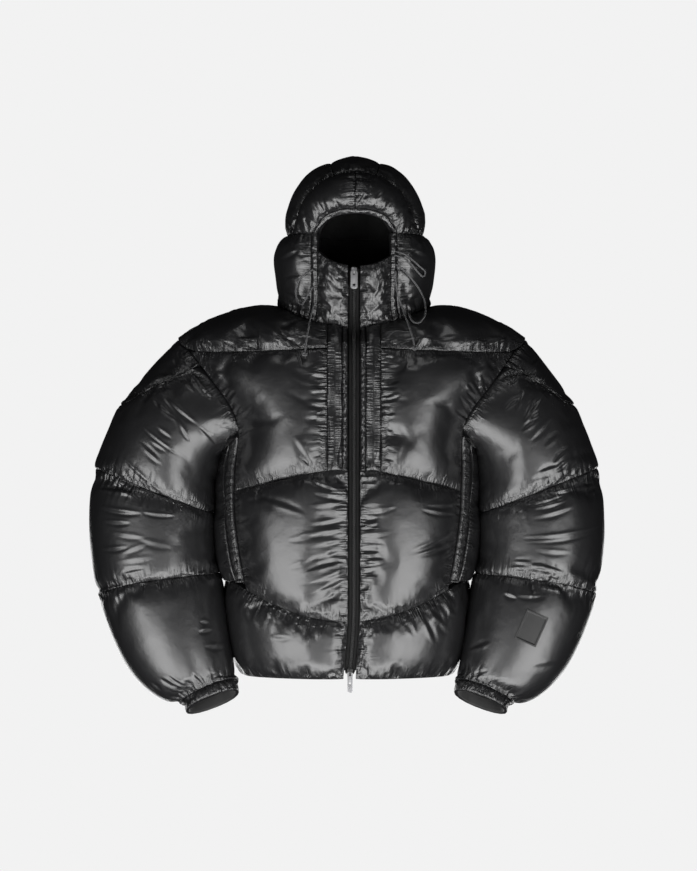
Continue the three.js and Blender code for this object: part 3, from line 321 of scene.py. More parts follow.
def make_metal():
    """Satin nickel with fine brush marks."""
    material, tree, shader = new_material("satin_nickel")
    shader.inputs["Base Color"].default_value = settings("finish").metal_colour
    shader.inputs["Metallic"].default_value = 1
    marks = noise_height(tree, 260, detail=4, stretch=(1, 1, 0.08))
    vary_roughness(tree, shader, marks, 0.42, 0.55)
    add_bump(tree, shader, marks, 0.0001, 0.35)
    return material


def make_painted_shade_slider():
    """The lower slider is painted near black in place of its metal, as painted shade, so that it hardly
    shows against the zip.
    """
    material, tree, shader = new_material("black_enamel")
    shader.inputs["Base Color"].default_value = (0.008, 0.008, 0.008, 1)
    vary_roughness(tree, shader, noise_height(tree, 260, detail=4), 0.4, 0.52)
    add_bump(tree, shader, noise_height(tree, 900, detail=2), 0.0001, 0.2)
    return material


def make_cord():
    """Braided cord: slanting strands on the cord's own map."""
    material, tree, shader = new_material("braided_cord")
    shader.inputs["Base Color"].default_value = settings("finish").cord_colour
    shader.inputs["Sheen Weight"].default_value = 0.3
    vary_roughness(tree, shader, noise_height(tree, 400), 0.5, 0.65)
    place = tree.nodes.new("ShaderNodeTexCoord")
    wave = node(tree, "ShaderNodeTexWave", Scale=420.0, Distortion=2.0)
    wave.bands_direction = "DIAGONAL"
    tree.links.new(place.outputs["Object"], wave.inputs["Vector"])
    add_bump(tree, shader, wave.outputs["Fac"], 0.0004, 0.8)
    return material


def make_label():
    """Soft matt moulded patch."""
    material, tree, shader = new_material("label_rubber")
    shader.inputs["Base Color"].default_value = (0.006, 0.006, 0.006, 1)
    vary_roughness(tree, shader, noise_height(tree, 300), 0.55, 0.65)
    add_bump(tree, shader, noise_height(tree, 1200, detail=2), 0.0001, 0.4)
    return material


MAKERS = {
    "shell": make_shell_nylon,
    "gathered": make_gathered_nylon,
    "lining": make_lining,
    "tape": make_tape,
    "tooth": make_tooth,
    "metal": make_metal,
    "shaded_slider": make_painted_shade_slider,
    "cord": make_cord,
    "label": make_label,
}
made_materials = {}


def finish_of(name):
    if name not in made_materials:
        made_materials[name] = MAKERS[name]()
    return made_materials[name]


# Mesh helpers
def new_piece(name, bm, materials, smooth=True):
    """Makes an object at the origin from a bmesh."""
    mesh = bpy.data.meshes.new(name)
    bm.to_mesh(mesh)
    bm.free()
    for key in ("custom_normal", "sharp_edge", "sharp_face"):
        if key in mesh.attributes:
            mesh.attributes.remove(mesh.attributes[key])
    for material in materials:
        mesh.materials.append(finish_of(material))
    if smooth:
        mesh.shade_smooth()
    piece = bpy.data.objects.new(name, mesh)
    bpy.context.scene.collection.objects.link(piece)
    return piece


def carried(piece, slot, body=BODY, *nodes):
    """The piece rides on a body and stands for its nodes; its slot is not used."""
    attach(piece, body)
    if nodes:
        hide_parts(*nodes)
    return piece


def merged_copy(name):
    """A copy of a CAD node with its doubles merged and its triangles paired."""
    bm = bmesh.new()
    bm.from_mesh(frame["nodes"][name].data)
    near = next((dist for start, dist in LOOSE_MERGES.items() if name.startswith(start)), MERGE)
    bmesh.ops.remove_doubles(bm, verts=bm.verts, dist=near)
    bmesh.ops.join_triangles(bm, faces=bm.faces, angle_face_threshold=1.2, angle_shape_threshold=1.2)
    bm.normal_update()
    for face in bm.faces:
        face.material_index = 0
        face.smooth = True
    return bm


def hollow_boxes(kind):
    """The stated hollows that lie inside one part of the jacket: torso, sleeves or hood."""
    wanted = {
        "torso": ("body_hollow", "neck"),
        "hood": ("hood_hollow", "neck"),
        "sleeve": ("upper_arm", "elbow", "forearm", "lower_arm", "wrist"),
    }[kind]
    boxes = []
    for opening in frame["record"]["physics"]["openings"]:
        if opening["name"].startswith(wanted):
            boxes.append([Vector(corner) for corner in opening["box_m"]])
    return boxes


def nearest_inside(boxes, point):
    """The nearest point of the hollows to a point on their wall."""
    spots = []
    for low, high in boxes:
        spots.append(Vector([min(max(point[k], low[k]), high[k]) for k in range(3)]))
    return min(spots, key=lambda spot: (spot - point).length)


OUTER, SEAM, LINING = 0, 1, 2
LINING_BEND = math.radians(46)
LINING_TURN = 0.3
CORNER_BEND = math.radians(35)
RISE_REACH = 0.016
HELD_WEIGHT = 0.97
SEAM_JUMP = 0.03
PUCKER_REACH = 0.07
STIR_HEIGHT = 0.0006


def sort_faces(bm, boxes):
    """Marks each face of a panel as outer cloth, seam edge or lining."""

    def facing(face):
        centre = face.calc_center_median()
        return face.normal.dot((centre - nearest_inside(boxes, centre)).normalized())

    first = min(bm.faces, key=lambda face: facing(face) * face.calc_area())
    first.material_index = LINING
    waiting = [first]
    while waiting:
        face = waiting.pop()
        for edge in face.edges:
            for near in edge.link_faces:
                if near.material_index == LINING or near.normal.angle(face.normal) > LINING_BEND:
                    continue
                if facing(near) < LINING_TURN:
                    near.material_index = LINING
                    waiting.append(near)
    inner = {vertex for face in bm.faces if face.material_index == LINING for vertex in face.verts}
    for face in bm.faces:
        if face.material_index == OUTER and any(vertex in inner for vertex in face.verts):
            face.material_index = LINING if all(vertex in inner for vertex in face.verts) else SEAM


def crease_seams(bm):
    """Keeps the seams' edges and the panel's corners sharp when the panel is smoothed."""
    crease = bm.edges.layers.float.get("crease_edge") or bm.edges.layers.float.new("crease_edge")
    for edge in bm.edges:
        kinds = {face.material_index for face in edge.link_faces}
        if SEAM in kinds and len(kinds) > 1:
            edge[crease] = 1.0
        elif kinds == {SEAM} and edge.calc_face_angle(0) > CORNER_BEND:
            edge[crease] = 1.0


def raise_seams(bm):
    """Lifts the seam line and the cloth beside it away from the lining, so that the grooves are shallow."""
    rise = settings("cloth").seam_rise
    ways = []
    for vertex in bm.verts:
        kinds = {face.material_index for face in vertex.link_faces}
        if OUTER in kinds and SEAM in kinds:
            feet = [edge.other_vert(vertex) for edge in vertex.link_edges]
            feet = [foot for foot in feet if any(face.material_index == LINING for face in foot.link_faces)]
            if feet:
                foot = min(feet, key=lambda near: (near.co - vertex.co).length)
                ways.append((vertex.co.copy(), (vertex.co - foot.co).normalized()))
    tree = KDTree(len(ways))
    for index, (spot, _) in enumerate(ways):
        tree.insert(spot, index)
    tree.balance()
    for vertex in {v for face in bm.faces if face.material_index == OUTER for v in face.verts}:
        near = tree.find_n(vertex.co, 3)
        way = sum((ways[index][1] for _, index, _ in near), Vector()).normalized()
        vertex.co += way * (rise * math.exp(-((near[0][2] / RISE_REACH) ** 2)))


def apply_modifiers(piece):
    depsgraph = bpy.context.evaluated_depsgraph_get()
    mesh = bpy.data.meshes.new_from_object(
        piece.evaluated_get(depsgraph), preserve_all_data_layers=True, depsgraph=depsgraph
    )
    piece.modifiers.clear()
    old = piece.data
    piece.data = mesh
    bpy.data.meshes.remove(old)


def subdivide(piece, levels):
    smooth = piece.modifiers.new("smooth", "SUBSURF")
    smooth.levels = levels
    smooth.render_levels = levels
    apply_modifiers(piece)


def held_points(bm):
    """Points on a seam or the lining, which the simulation leaves where they are."""
    return {v.index for face in bm.faces if face.material_index != OUTER for v in face.verts}


panels = {}


def make_panel(name, kind, levels=2, cloth="shell"):
    """A padded panel on its solid's form, its seams held and its cloth free to fill out."""
    bm = merged_copy(name)
    sort_faces(bm, hollow_boxes(kind))
    if name not in CUFFS:
        raise_seams(bm)
    crease_seams(bm)
    bm.verts.index_update()
    held = held_points(bm)
    piece = new_piece(f"{name}_cloth", bm, [cloth, cloth, "lining"])
    near_seam = piece.vertex_groups.new(name="near_seam")
    near_seam.add(list(held), 1.0, "REPLACE")
    subdivide(piece, levels)
    fixed = piece.vertex_groups.new(name="held")
    weights = weights_of(piece, "near_seam")
    fixed.add([index for index, weight in enumerate(weights) if weight > HELD_WEIGHT], 1.0, "REPLACE")
    carried(piece, "shell", BODY, name)
    panels[name] = piece
    return piece


def set_up_cloth(piece):
    cloth = settings("cloth")
    modifier = piece.modifiers.new("fill", "CLOTH")
    fabric = modifier.settings
    fabric.quality = 5
    fabric.mass = 0.15
    fabric.tension_stiffness = 12
    fabric.compression_stiffness = 12
    fabric.shear_stiffness = 4
    fabric.bending_stiffness = 0.06
    fabric.tension_damping = 12
    fabric.compression_damping = 12
    fabric.shear_damping = 12
    fabric.air_damping = 2
    fabric.vertex_group_mass = "held"
    fabric.pin_stiffness = 1
    fabric.vertex_group_shrink = "near_seam"
    fabric.shrink_min = -cloth.middle_growth
    fabric.shrink_max = -cloth.seam_growth
    fabric.use_pressure = True
    fabric.uniform_pressure_force = cloth.pressure
    fabric.effector_weights.gravity = 0
    modifier.collision_settings.use_collision = False
    modifier.point_cache.frame_end = cloth.steps + 2


def weights_of(piece, name):
    group = piece.vertex_groups[name].index
    weights = []
    for vertex in piece.data.vertices:
        weights.append(next((g.weight for g in vertex.groups if g.group == group), 0.0))
    return weights


def keep_fill(piece, start):
    """Takes the filled shape, with no point further from its start than the cap."""
    cap = settings("cloth").most_moved
    depsgraph = bpy.context.evaluated_depsgraph_get()
    filled = [v.co.copy() for v in piece.evaluated_get(depsgraph).data.vertices]
    piece.modifiers.clear()
    for vertex, begin, end in zip(piece.data.vertices, start, filled):
        move = end - begin
        far = move.length
        if 1e-9 < far < 0.1:
            vertex.co = begin + move * (cap * math.tanh(far / cap) / far)
        else:
            vertex.co = begin


def seam_line(bm):
    """The points where outer cloth meets its seam, each with how far along the seam it lies."""
    edges = {}
    for edge in bm.edges:
        kinds = {face.material_index for face in edge.link_faces}
        if kinds == {OUTER, SEAM}:
            a, b = edge.verts
            edges.setdefault(a, []).append(b)
            edges.setdefault(b, []).append(a)
    spots, seen, along = [], set(), 0.0
    for first in edges:
        if first in seen:
            continue
        point = first
        while point is not None:
            seen.add(point)
            spots.append((point.co.copy(), along))
            following = next((other for other in edges[point] if other not in seen), None)
            if following is not None:
                along += (following.co - point.co).length
            point = following
        along += 1.0
    return spots


def seam_places(bm):
    """For each outer point, how far it is from its seam and how far along the seam it lies."""
    spots = seam_line(bm)
    tree = KDTree(len(spots))
    for index, (spot, _) in enumerate(spots):
        tree.insert(spot, index)
    tree.balance()
    places = {}
    for vertex in {v for face in bm.faces if face.material_index == OUTER for v in face.verts}:
        _, index, distance = tree.find(vertex.co)
        places[vertex] = (spots[index][1], distance)
    return places


def map_seams(bm):
    """Keeps the way along the seam and the distance from it as a UV map for the material."""
    places = seam_places(bm)
    layer = bm.loops.layers.uv.get(SEAM_MAP) or bm.loops.layers.uv.new(SEAM_MAP)
    for face in bm.faces:
        if face.material_index != OUTER:
            for loop in face.loops:
                loop[layer].uv = (0, 1)
            continue
        alongs = [places[loop.vert][0] for loop in face.loops]
        jump = max(alongs) - min(alongs) > SEAM_JUMP
        for loop in face.loops:
            along, distance = places[loop.vert]
            loop[layer].uv = (alongs[0] if jump else along, distance)


def pucker(bm, seed, depth):
    """Small puckers that run out from the seams and die away into the panel."""
    pitch = settings("cloth").pucker_pitch
    moves = []
    for vertex, (along, distance) in seam_places(bm).items():
        if distance > PUCKER_REACH:
            continue
        wander = noise.noise(Vector((along * 22, seed, 0.3)))
        reach = 0.007 + 0.026 * (0.5 + 0.5 * noise.noise(Vector((along * 45, seed, 7.1))))
        size = 0.4 + 1.3 * abs(noise.noise(Vector((along * 26, seed, 3.7))))
        wave = 1.6 * abs(math.sin(math.pi * along / pitch + 3 * wander)) ** 0.7 - 1
        fade = min(1.0, distance / 0.003) * math.exp(-((distance / reach) ** 1.5))
        moves.append((vertex, vertex.normal * (depth * size * wave * fade)))
    for vertex, move in moves:
        vertex.co += move


def finish_panel(piece, seed):
    """Puckers, folds and the seam map on a panel's finest mesh."""
    subdivide(piece, 1)
    bm = bmesh.new()
    bm.from_mesh(piece.data)
    bm.normal_update()
    pucker(bm, seed, settings("cloth").pucker_depth)
    fold(bm, piece.name)
    map_seams(bm)
    bm.to_mesh(piece.data)
    bm.free()
    piece.data.shade_smooth()


# Folds listed for each front panel, in mm: start and end in the front view, half width, depth.
FOLDS = {
    "yoke_front_right": [
        (-215, -4, -172, -44, 4.6, 0.9), (-194, 0, -150, -42, 4.6, 0.9), (-172, 0, -128, -40, 4.6, 0.8),
        (-150, -2, -107, -37, 4.6, 0.7), (-256, -26, -243, -51, 2.8, 1.3),
        (-270, -33, -259, -54, 2.8, 1.3), (-280, -37, -273, -68, 2.8, 1.3),
        (-224, -35, -205, -51, 3.2, 1.0), (-200, -33, -182, -51, 3.2, 1.0),
        (-138, 7, -63, -42, 6.5, 0.9),
    ],
    "chest_right": [
        (-266, -63, -242, -135, 2.9, 1.8), (-254, -70, -236, -130, 2.6, 1.4),
        (-231, -135, -214, -117, 3.2, 1.2), (-222, -142, -203, -121, 3.2, 1.3),
        (-217, -166, -206, -144, 3.2, 1.3), (-208, -168, -194, -145, 3.2, 1.2),
        (-201, -175, -172, -149, 3.8, 1.1), (-215, -201, -200, -182, 4.1, 1.7),
        (-205, -205, -172, -184, 3.8, 1.4), (-72, -82, -46, -77, 2.9, 0.9),
        (-74, -96, -46, -98, 2.9, 0.9), (-66, -116, -46, -114, 2.9, 0.8),
        (-63, -163, -46, -159, 2.9, 0.9), (-60, -192, -46, -187, 2.9, 0.9),
        (-105, -201, -66, -257, 5.2, 1.0), (-94, -234, -70, -257, 3.5, 1.0),
        (-200, -245, -182, -270, 4.3, 0.9),
    ],
    "belly_right": [
        (-79, -352, -10, -341, 3.8, 1.2), (-93, -371, -10, -359, 3.8, 1.2),
        (-114, -380, -42, -362, 4.3, 0.9), (-84, -390, -10, -376, 3.8, 1.3),
        (-94, -411, -10, -392, 3.8, 1.2), (-114, -427, -60, -406, 3.8, 0.8),
        (-94, -434, -10, -411, 3.8, 1.3), (-93, -455, -10, -429, 3.8, 1.3),
        (-75, -469, -10, -443, 3.8, 1.2), (-65, -486, -10, -457, 3.8, 1.1),
        (-77, -322, -10, -313, 3.8, 0.9), (-72, -298, -10, -306, 3.8, 1.0),
        (-164, -303, -80, -331, 4.9, 1.0), (-84, -271, -28, -294, 3.5, 1.3),
        (-205, -354, -177, -338, 3.5, 0.8), (-196, -434, -156, -453, 4.3, 1.2),
        (-187, -312, -150, -301, 4.3, 0.7),
    ],
    "hem_front_right": [
        (-189, -469, -161, -528, 5.8, 1.2), (-168, -472, -150, -514, 4.9, 1.0),
        (-150, -483, -130, -513, 4.9, 1.0), (-128, -494, -112, -525, 4.9, 0.9),
        (-102, -506, -89, -536, 4.9, 0.9), (-144, -546, -107, -546, 4.1, 1.0),
        (-74, -516, -63, -556, 4.9, 0.8),
    ],
    "sleeve_cap_right": [
        (-317, -54, -308, -84, 2.6, 1.3), (-299, -63, -292, -79, 2.6, 1.3),
        (-306, -47, -298, -74, 2.3, 1.0), (-368, -130, -373, -112, 2.6, 0.9),
    ],
    "sleeve_upper_right": [
        (-296, -84, -275, -124, 2.9, 1.5), (-287, -82, -261, -108, 2.6, 1.5),
        (-280, -98, -240, -140, 2.6, 1.5), (-355, -133, -303, -172, 3.5, 1.7),
        (-304, -172, -282, -212, 2.9, 1.7), (-331, -128, -289, -196, 3.8, 1.3),
        (-318, -140, -268, -182, 3.2, 1.5), (-270, -180, -236, -217, 3.2, 1.3),
        (-366, -184, -298, -234, 2.6, 1.0), (-341, -184, -313, -205, 2.9, 1.1),
        (-368, -208, -331, -247, 3.5, 1.0), (-352, -208, -322, -228, 3.5, 1.0),
        (-401, -238, -331, -299, 3.5, 1.2), (-360, -226, -331, -250, 3.5, 1.0),
        (-343, -133, -332, -159, 2.9, 1.1),
    ],
    "sleeve_middle_right": [
        (-415, -268, -338, -289, 3.8, 1.9), (-448, -289, -354, -301, 3.8, 1.9),
        (-427, -280, -364, -310, 3.2, 1.4), (-357, -292, -318, -308, 2.6, 1.3),
        (-444, -324, -364, -334, 3.8, 1.8), (-366, -332, -308, -338, 2.9, 1.3),
        (-434, -348, -383, -350, 3.2, 1.3), (-422, -368, -357, -376, 3.8, 0.8),
        (-438, -397, -388, -392, 3.2, 1.3), (-399, -404, -352, -385, 3.8, 0.7),
        (-406, -418, -343, -410, 4.1, 0.7), (-402, -436, -360, -427, 3.2, 1.1),
        (-374, -378, -312, -394, 4.3, 0.7),
    ],
    "sleeve_lower_right": [
        (-394, -448, -334, -453, 2.9, 1.7), (-436, -469, -397, -448, 3.2, 1.5),
        (-334, -444, -287, -436, 3.2, 1.2), (-266, -520, -248, -522, 2.9, 1.0),
        (-268, -537, -243, -534, 3.2, 1.2), (-259, -562, -219, -565, 3.8, 0.9),
        (-280, -604, -256, -632, 3.5, 1.7), (-252, -607, -250, -632, 3.8, 1.4),
        (-352, -623, -331, -639, 3.2, 1.4), (-334, -616, -303, -632, 3.5, 1.4),
        (-320, -612, -292, -630, 3.2, 1.1), (-236, -612, -228, -634, 3.5, 1.2),
    ],
    "yoke_front_left": [
        (261, -23, 250, -51, 2.9, 1.7), (270, -33, 262, -68, 2.9, 1.7), (203, -51, 214, -38, 2.6, 1.0),
        (217, -51, 224, -40, 2.6, 1.0), (229, -51, 238, -40, 2.6, 1.0), (242, -51, 247, -38, 2.6, 1.0),
        (189, -49, 198, -40, 2.6, 0.8), (56, -37, 77, -33, 3.2, 0.9), (54, -24, 70, -19, 3.2, 0.9),
    ],
    "chest_left": [
        (262, -77, 222, -178, 3.5, 1.8), (228, -66, 248, -88, 3.5, 1.4),
        (194, -108, 212, -131, 3.2, 1.3), (203, -102, 219, -128, 3.2, 1.3),
        (219, -94, 228, -116, 3.2, 1.2), (194, -124, 215, -147, 3.2, 1.5),
        (180, -130, 217, -178, 3.5, 1.5), (173, -154, 210, -186, 3.5, 1.4),
        (177, -164, 201, -191, 3.2, 1.4), (52, -65, 70, -66, 2.9, 1.0), (56, -82, 82, -80, 3.2, 1.1),
        (58, -110, 79, -105, 3.2, 1.0), (56, -138, 80, -130, 3.2, 1.1), (56, -163, 70, -159, 2.9, 0.8),
        (56, -189, 68, -189, 2.9, 0.9), (89, -203, 74, -248, 5.2, 0.9),
        (184, -196, 191, -240, 5.2, 0.9), (210, -206, 219, -245, 4.1, 0.8),
    ],
    "belly_left": [
        (10, -332, 75, -322, 3.5, 0.9), (10, -340, 42, -340, 2.9, 1.0), (10, -360, 42, -350, 3.2, 1.2),
        (10, -371, 65, -366, 3.5, 1.1), (10, -383, 54, -383, 3.5, 1.0), (9, -399, 46, -396, 3.5, 1.2),
        (9, -410, 52, -408, 3.5, 1.2), (9, -420, 51, -415, 3.5, 1.2), (9, -432, 38, -427, 3.5, 1.0),
        (12, -460, 26, -457, 3.5, 1.0), (122, -320, 191, -318, 3.5, 0.9),
        (114, -326, 173, -336, 3.2, 1.1), (96, -399, 184, -362, 4.1, 1.3),
        (108, -406, 186, -378, 3.8, 1.4), (136, -425, 189, -397, 4.6, 0.9),
        (154, -443, 198, -427, 3.8, 1.2), (152, -453, 196, -439, 3.8, 1.2),
        (156, -408, 200, -402, 4.3, 0.8), (178, -346, 208, -329, 3.8, 0.8),
        (16, -280, 56, -264, 4.9, 1.1),
    ],
    "hem_front_left": [
        (119, -506, 142, -556, 4.6, 1.3), (100, -500, 110, -539, 4.6, 1.1),
        (131, -494, 156, -520, 4.6, 1.1), (144, -522, 161, -542, 4.3, 1.0),
        (79, -511, 105, -542, 4.9, 0.9), (161, -483, 177, -508, 4.6, 1.0),
        (35, -525, 21, -546, 3.5, 0.9),
    ],
    "sleeve_cap_left": [
        (308, -77, 318, -63, 2.9, 1.3), (294, -100, 317, -80, 2.9, 1.3),
        (320, -112, 334, -98, 2.9, 1.0), (284, -102, 292, -91, 2.9, 1.0),
    ],
    "sleeve_upper_left": [
        (264, -112, 285, -96, 2.9, 1.5), (257, -154, 289, -128, 3.2, 1.5),
        (278, -156, 292, -121, 2.9, 1.5), (289, -177, 326, -130, 3.8, 1.9),
        (298, -159, 313, -136, 2.9, 1.4), (301, -172, 320, -156, 2.9, 1.3),
        (287, -191, 317, -168, 3.5, 1.2), (304, -210, 341, -170, 4.1, 1.1),
        (326, -217, 354, -191, 4.1, 0.8), (340, -248, 371, -217, 3.5, 1.4),
        (346, -262, 374, -240, 3.5, 1.4), (315, -261, 354, -248, 3.5, 1.2),
        (362, -259, 390, -238, 3.8, 1.0), (299, -278, 346, -266, 4.1, 0.8),
    ],
    "sleeve_middle_left": [
        (371, -290, 420, -282, 3.5, 1.8), (348, -299, 388, -290, 3.5, 1.4),
        (289, -320, 364, -303, 3.5, 1.4), (308, -327, 369, -312, 3.5, 1.3),
        (308, -343, 382, -322, 3.8, 1.2), (404, -299, 420, -289, 3.2, 1.3),
        (289, -376, 432, -357, 3.5, 1.4), (298, -383, 424, -364, 3.2, 1.0),
        (310, -397, 373, -402, 3.8, 0.8), (275, -411, 368, -434, 4.1, 1.7),
        (284, -427, 360, -441, 3.5, 1.3), (261, -432, 308, -429, 3.8, 1.2),
        (276, -420, 326, -416, 3.5, 1.0),
    ],
    "sleeve_lower_left": [
        (313, -453, 362, -462, 3.8, 1.9), (278, -476, 332, -476, 3.5, 1.0),
        (256, -471, 280, -480, 3.5, 1.4), (348, -452, 360, -471, 3.2, 1.4),
        (304, -597, 373, -586, 4.6, 0.9), (198, -567, 234, -551, 4.1, 1.3),
        (189, -621, 231, -602, 4.1, 1.3), (220, -634, 247, -618, 3.5, 1.3),
        (376, -556, 396, -536, 4.3, 0.7),
    ],
    "brim_right": [
        (-74, 212, -58, 159, 3.8, 1.3), (-91, 200, -79, 158, 4.1, 1.1), (-38, 208, -16, 173, 3.8, 1.3),
        (-56, 215, -40, 172, 3.5, 1.0), (-103, 186, -89, 152, 4.3, 0.9),
    ],
    "brim_left": [
        (-4, 184, 30, 236, 3.8, 1.1), (12, 200, 23, 215, 3.2, 1.0), (35, 208, 51, 224, 3.5, 1.2),
        (72, 177, 93, 194, 3.8, 1.3), (54, 189, 65, 210, 3.8, 1.1), (88, 158, 108, 175, 4.3, 1.0),
        (21, 180, 30, 200, 3.2, 1.0),
    ],
    "chin_right": [
        (-49, 82, -23, 51, 4.1, 1.5), (-60, 38, -37, 18, 3.8, 1.3), (-40, 46, -18, 38, 3.5, 1.0),
        (-56, 65, -35, 33, 3.8, 1.1),
    ],
    "chin_left": [
        (24, 7, 66, 38, 4.1, 1.5), (21, 68, 38, 44, 3.8, 1.2), (51, 68, 33, 30, 3.8, 1.2),
        (60, 46, 77, 68, 3.5, 1.2),
    ],
    "cheek_right": [
        (-128, 105, -94, 122, 3.8, 1.2), (-122, 74, -89, 79, 3.8, 1.2), (-124, 51, -91, 38, 3.8, 1.2),
        (-112, 28, -89, 19, 3.5, 1.1), (-108, 135, -88, 108, 3.8, 1.0),
    ],
    "cheek_left": [
        (96, 122, 126, 110, 3.8, 1.2), (94, 89, 128, 86, 3.8, 1.2), (93, 60, 122, 72, 3.8, 1.2),
        (94, 33, 114, 44, 3.5, 1.1), (91, 105, 117, 133, 3.8, 1.0),
    ],
}


def fold_push(x, z, rows):
    """How far the folds move a point of the front view, in mm."""
    push = 0.0
    for x0, z0, x1, z1, width, depth in rows:
        run = math.hypot(x1 - x0, z1 - z0)
        across_x, across_z = (z1 - z0) / run, -(x1 - x0) / run
        t = ((x - x0) * (x1 - x0) + (z - z0) * (z1 - z0)) / run**2
        if not 0 < t < 1:
            continue
        side = 1 if (x0 + z1) % 2 else -1
        off = (x - x0) * across_x + (z - z0) * across_z + side * 0.05 * run * math.sin(math.pi * t)
        s = side * off / (width * (0.55 + 0.45 * math.sin(math.pi * t)))
        if abs(s) > 4:
            continue
        taper = math.sin(math.pi * t) ** 1.2
        push += depth * taper * (0.8 * math.exp(-((s - 1.6) ** 2) / 1.2) - math.exp(-s * s / 1.4))
    return push


def near_folds(face, rows):
    """True where a front face lies on a fold or beside it."""
    if face.material_index != OUTER or face.normal.y > 0.1:
        return False
    centre = face.calc_center_median() * 1000
    reach = 1.0 + 700 * math.sqrt(face.calc_area())
    for x0, z0, x1, z1, width, _ in rows:
        run2 = (x1 - x0) ** 2 + (z1 - z0) ** 2
        t = min(1, max(0, ((centre.x - x0) * (x1 - x0) + (centre.z - z0) * (z1 - z0)) / run2))
        off = math.hypot(centre.x - mix(x0, x1, t), centre.z - mix(z0, z1, t))
        if off < 2.6 * width + 0.06 * math.sqrt(run2) + reach:
            return True
    return False


def mix(a, b, share):
    return a + (b - a) * share


def fold(bm, name):
    """Refines the cloth round its listed folds and presses them in."""
    rows = next((rows for panel, rows in FOLDS.items() if name.startswith(panel)), [])
    if not rows:
        return
    for _ in range(2):
        edges = {edge for face in bm.faces if near_folds(face, rows) for edge in face.edges}
        bmesh.ops.subdivide_edges(bm, edges=list(edges), cuts=1, use_grid_fill=True, smooth=0)
    bm.normal_update()
    moves = []
    for vertex in {v for face in bm.faces if face.material_index == OUTER for v in face.verts}:
        if vertex.normal.y < 0.1:
            push = fold_push(vertex.co.x * 1000, vertex.co.z * 1000, rows)
            if push:
                moves.append((vertex, vertex.normal * (push / 1000)))
    for vertex, move in moves:
        vertex.co += move


class JACKET_OT_camera(bpy.types.Operator):
    """Places the camera level with the jacket's middle"""

    bl_idname = "jacket.camera"
    bl_label = "Camera"

    def execute(self, context):
        camera = bpy.data.cameras.new("camera")
        camera.lens = 150
        camera.sensor_width = 36
        camera.clip_end = 60
        holder = bpy.data.objects.new("camera", camera)
        holder.location = (-0.0096, -6.35, -0.1986)
        holder.rotation_euler = (math.pi / 2, 0, 0)
        context.scene.collection.objects.link(holder)
        context.scene.camera = holder
        return {"FINISHED"}


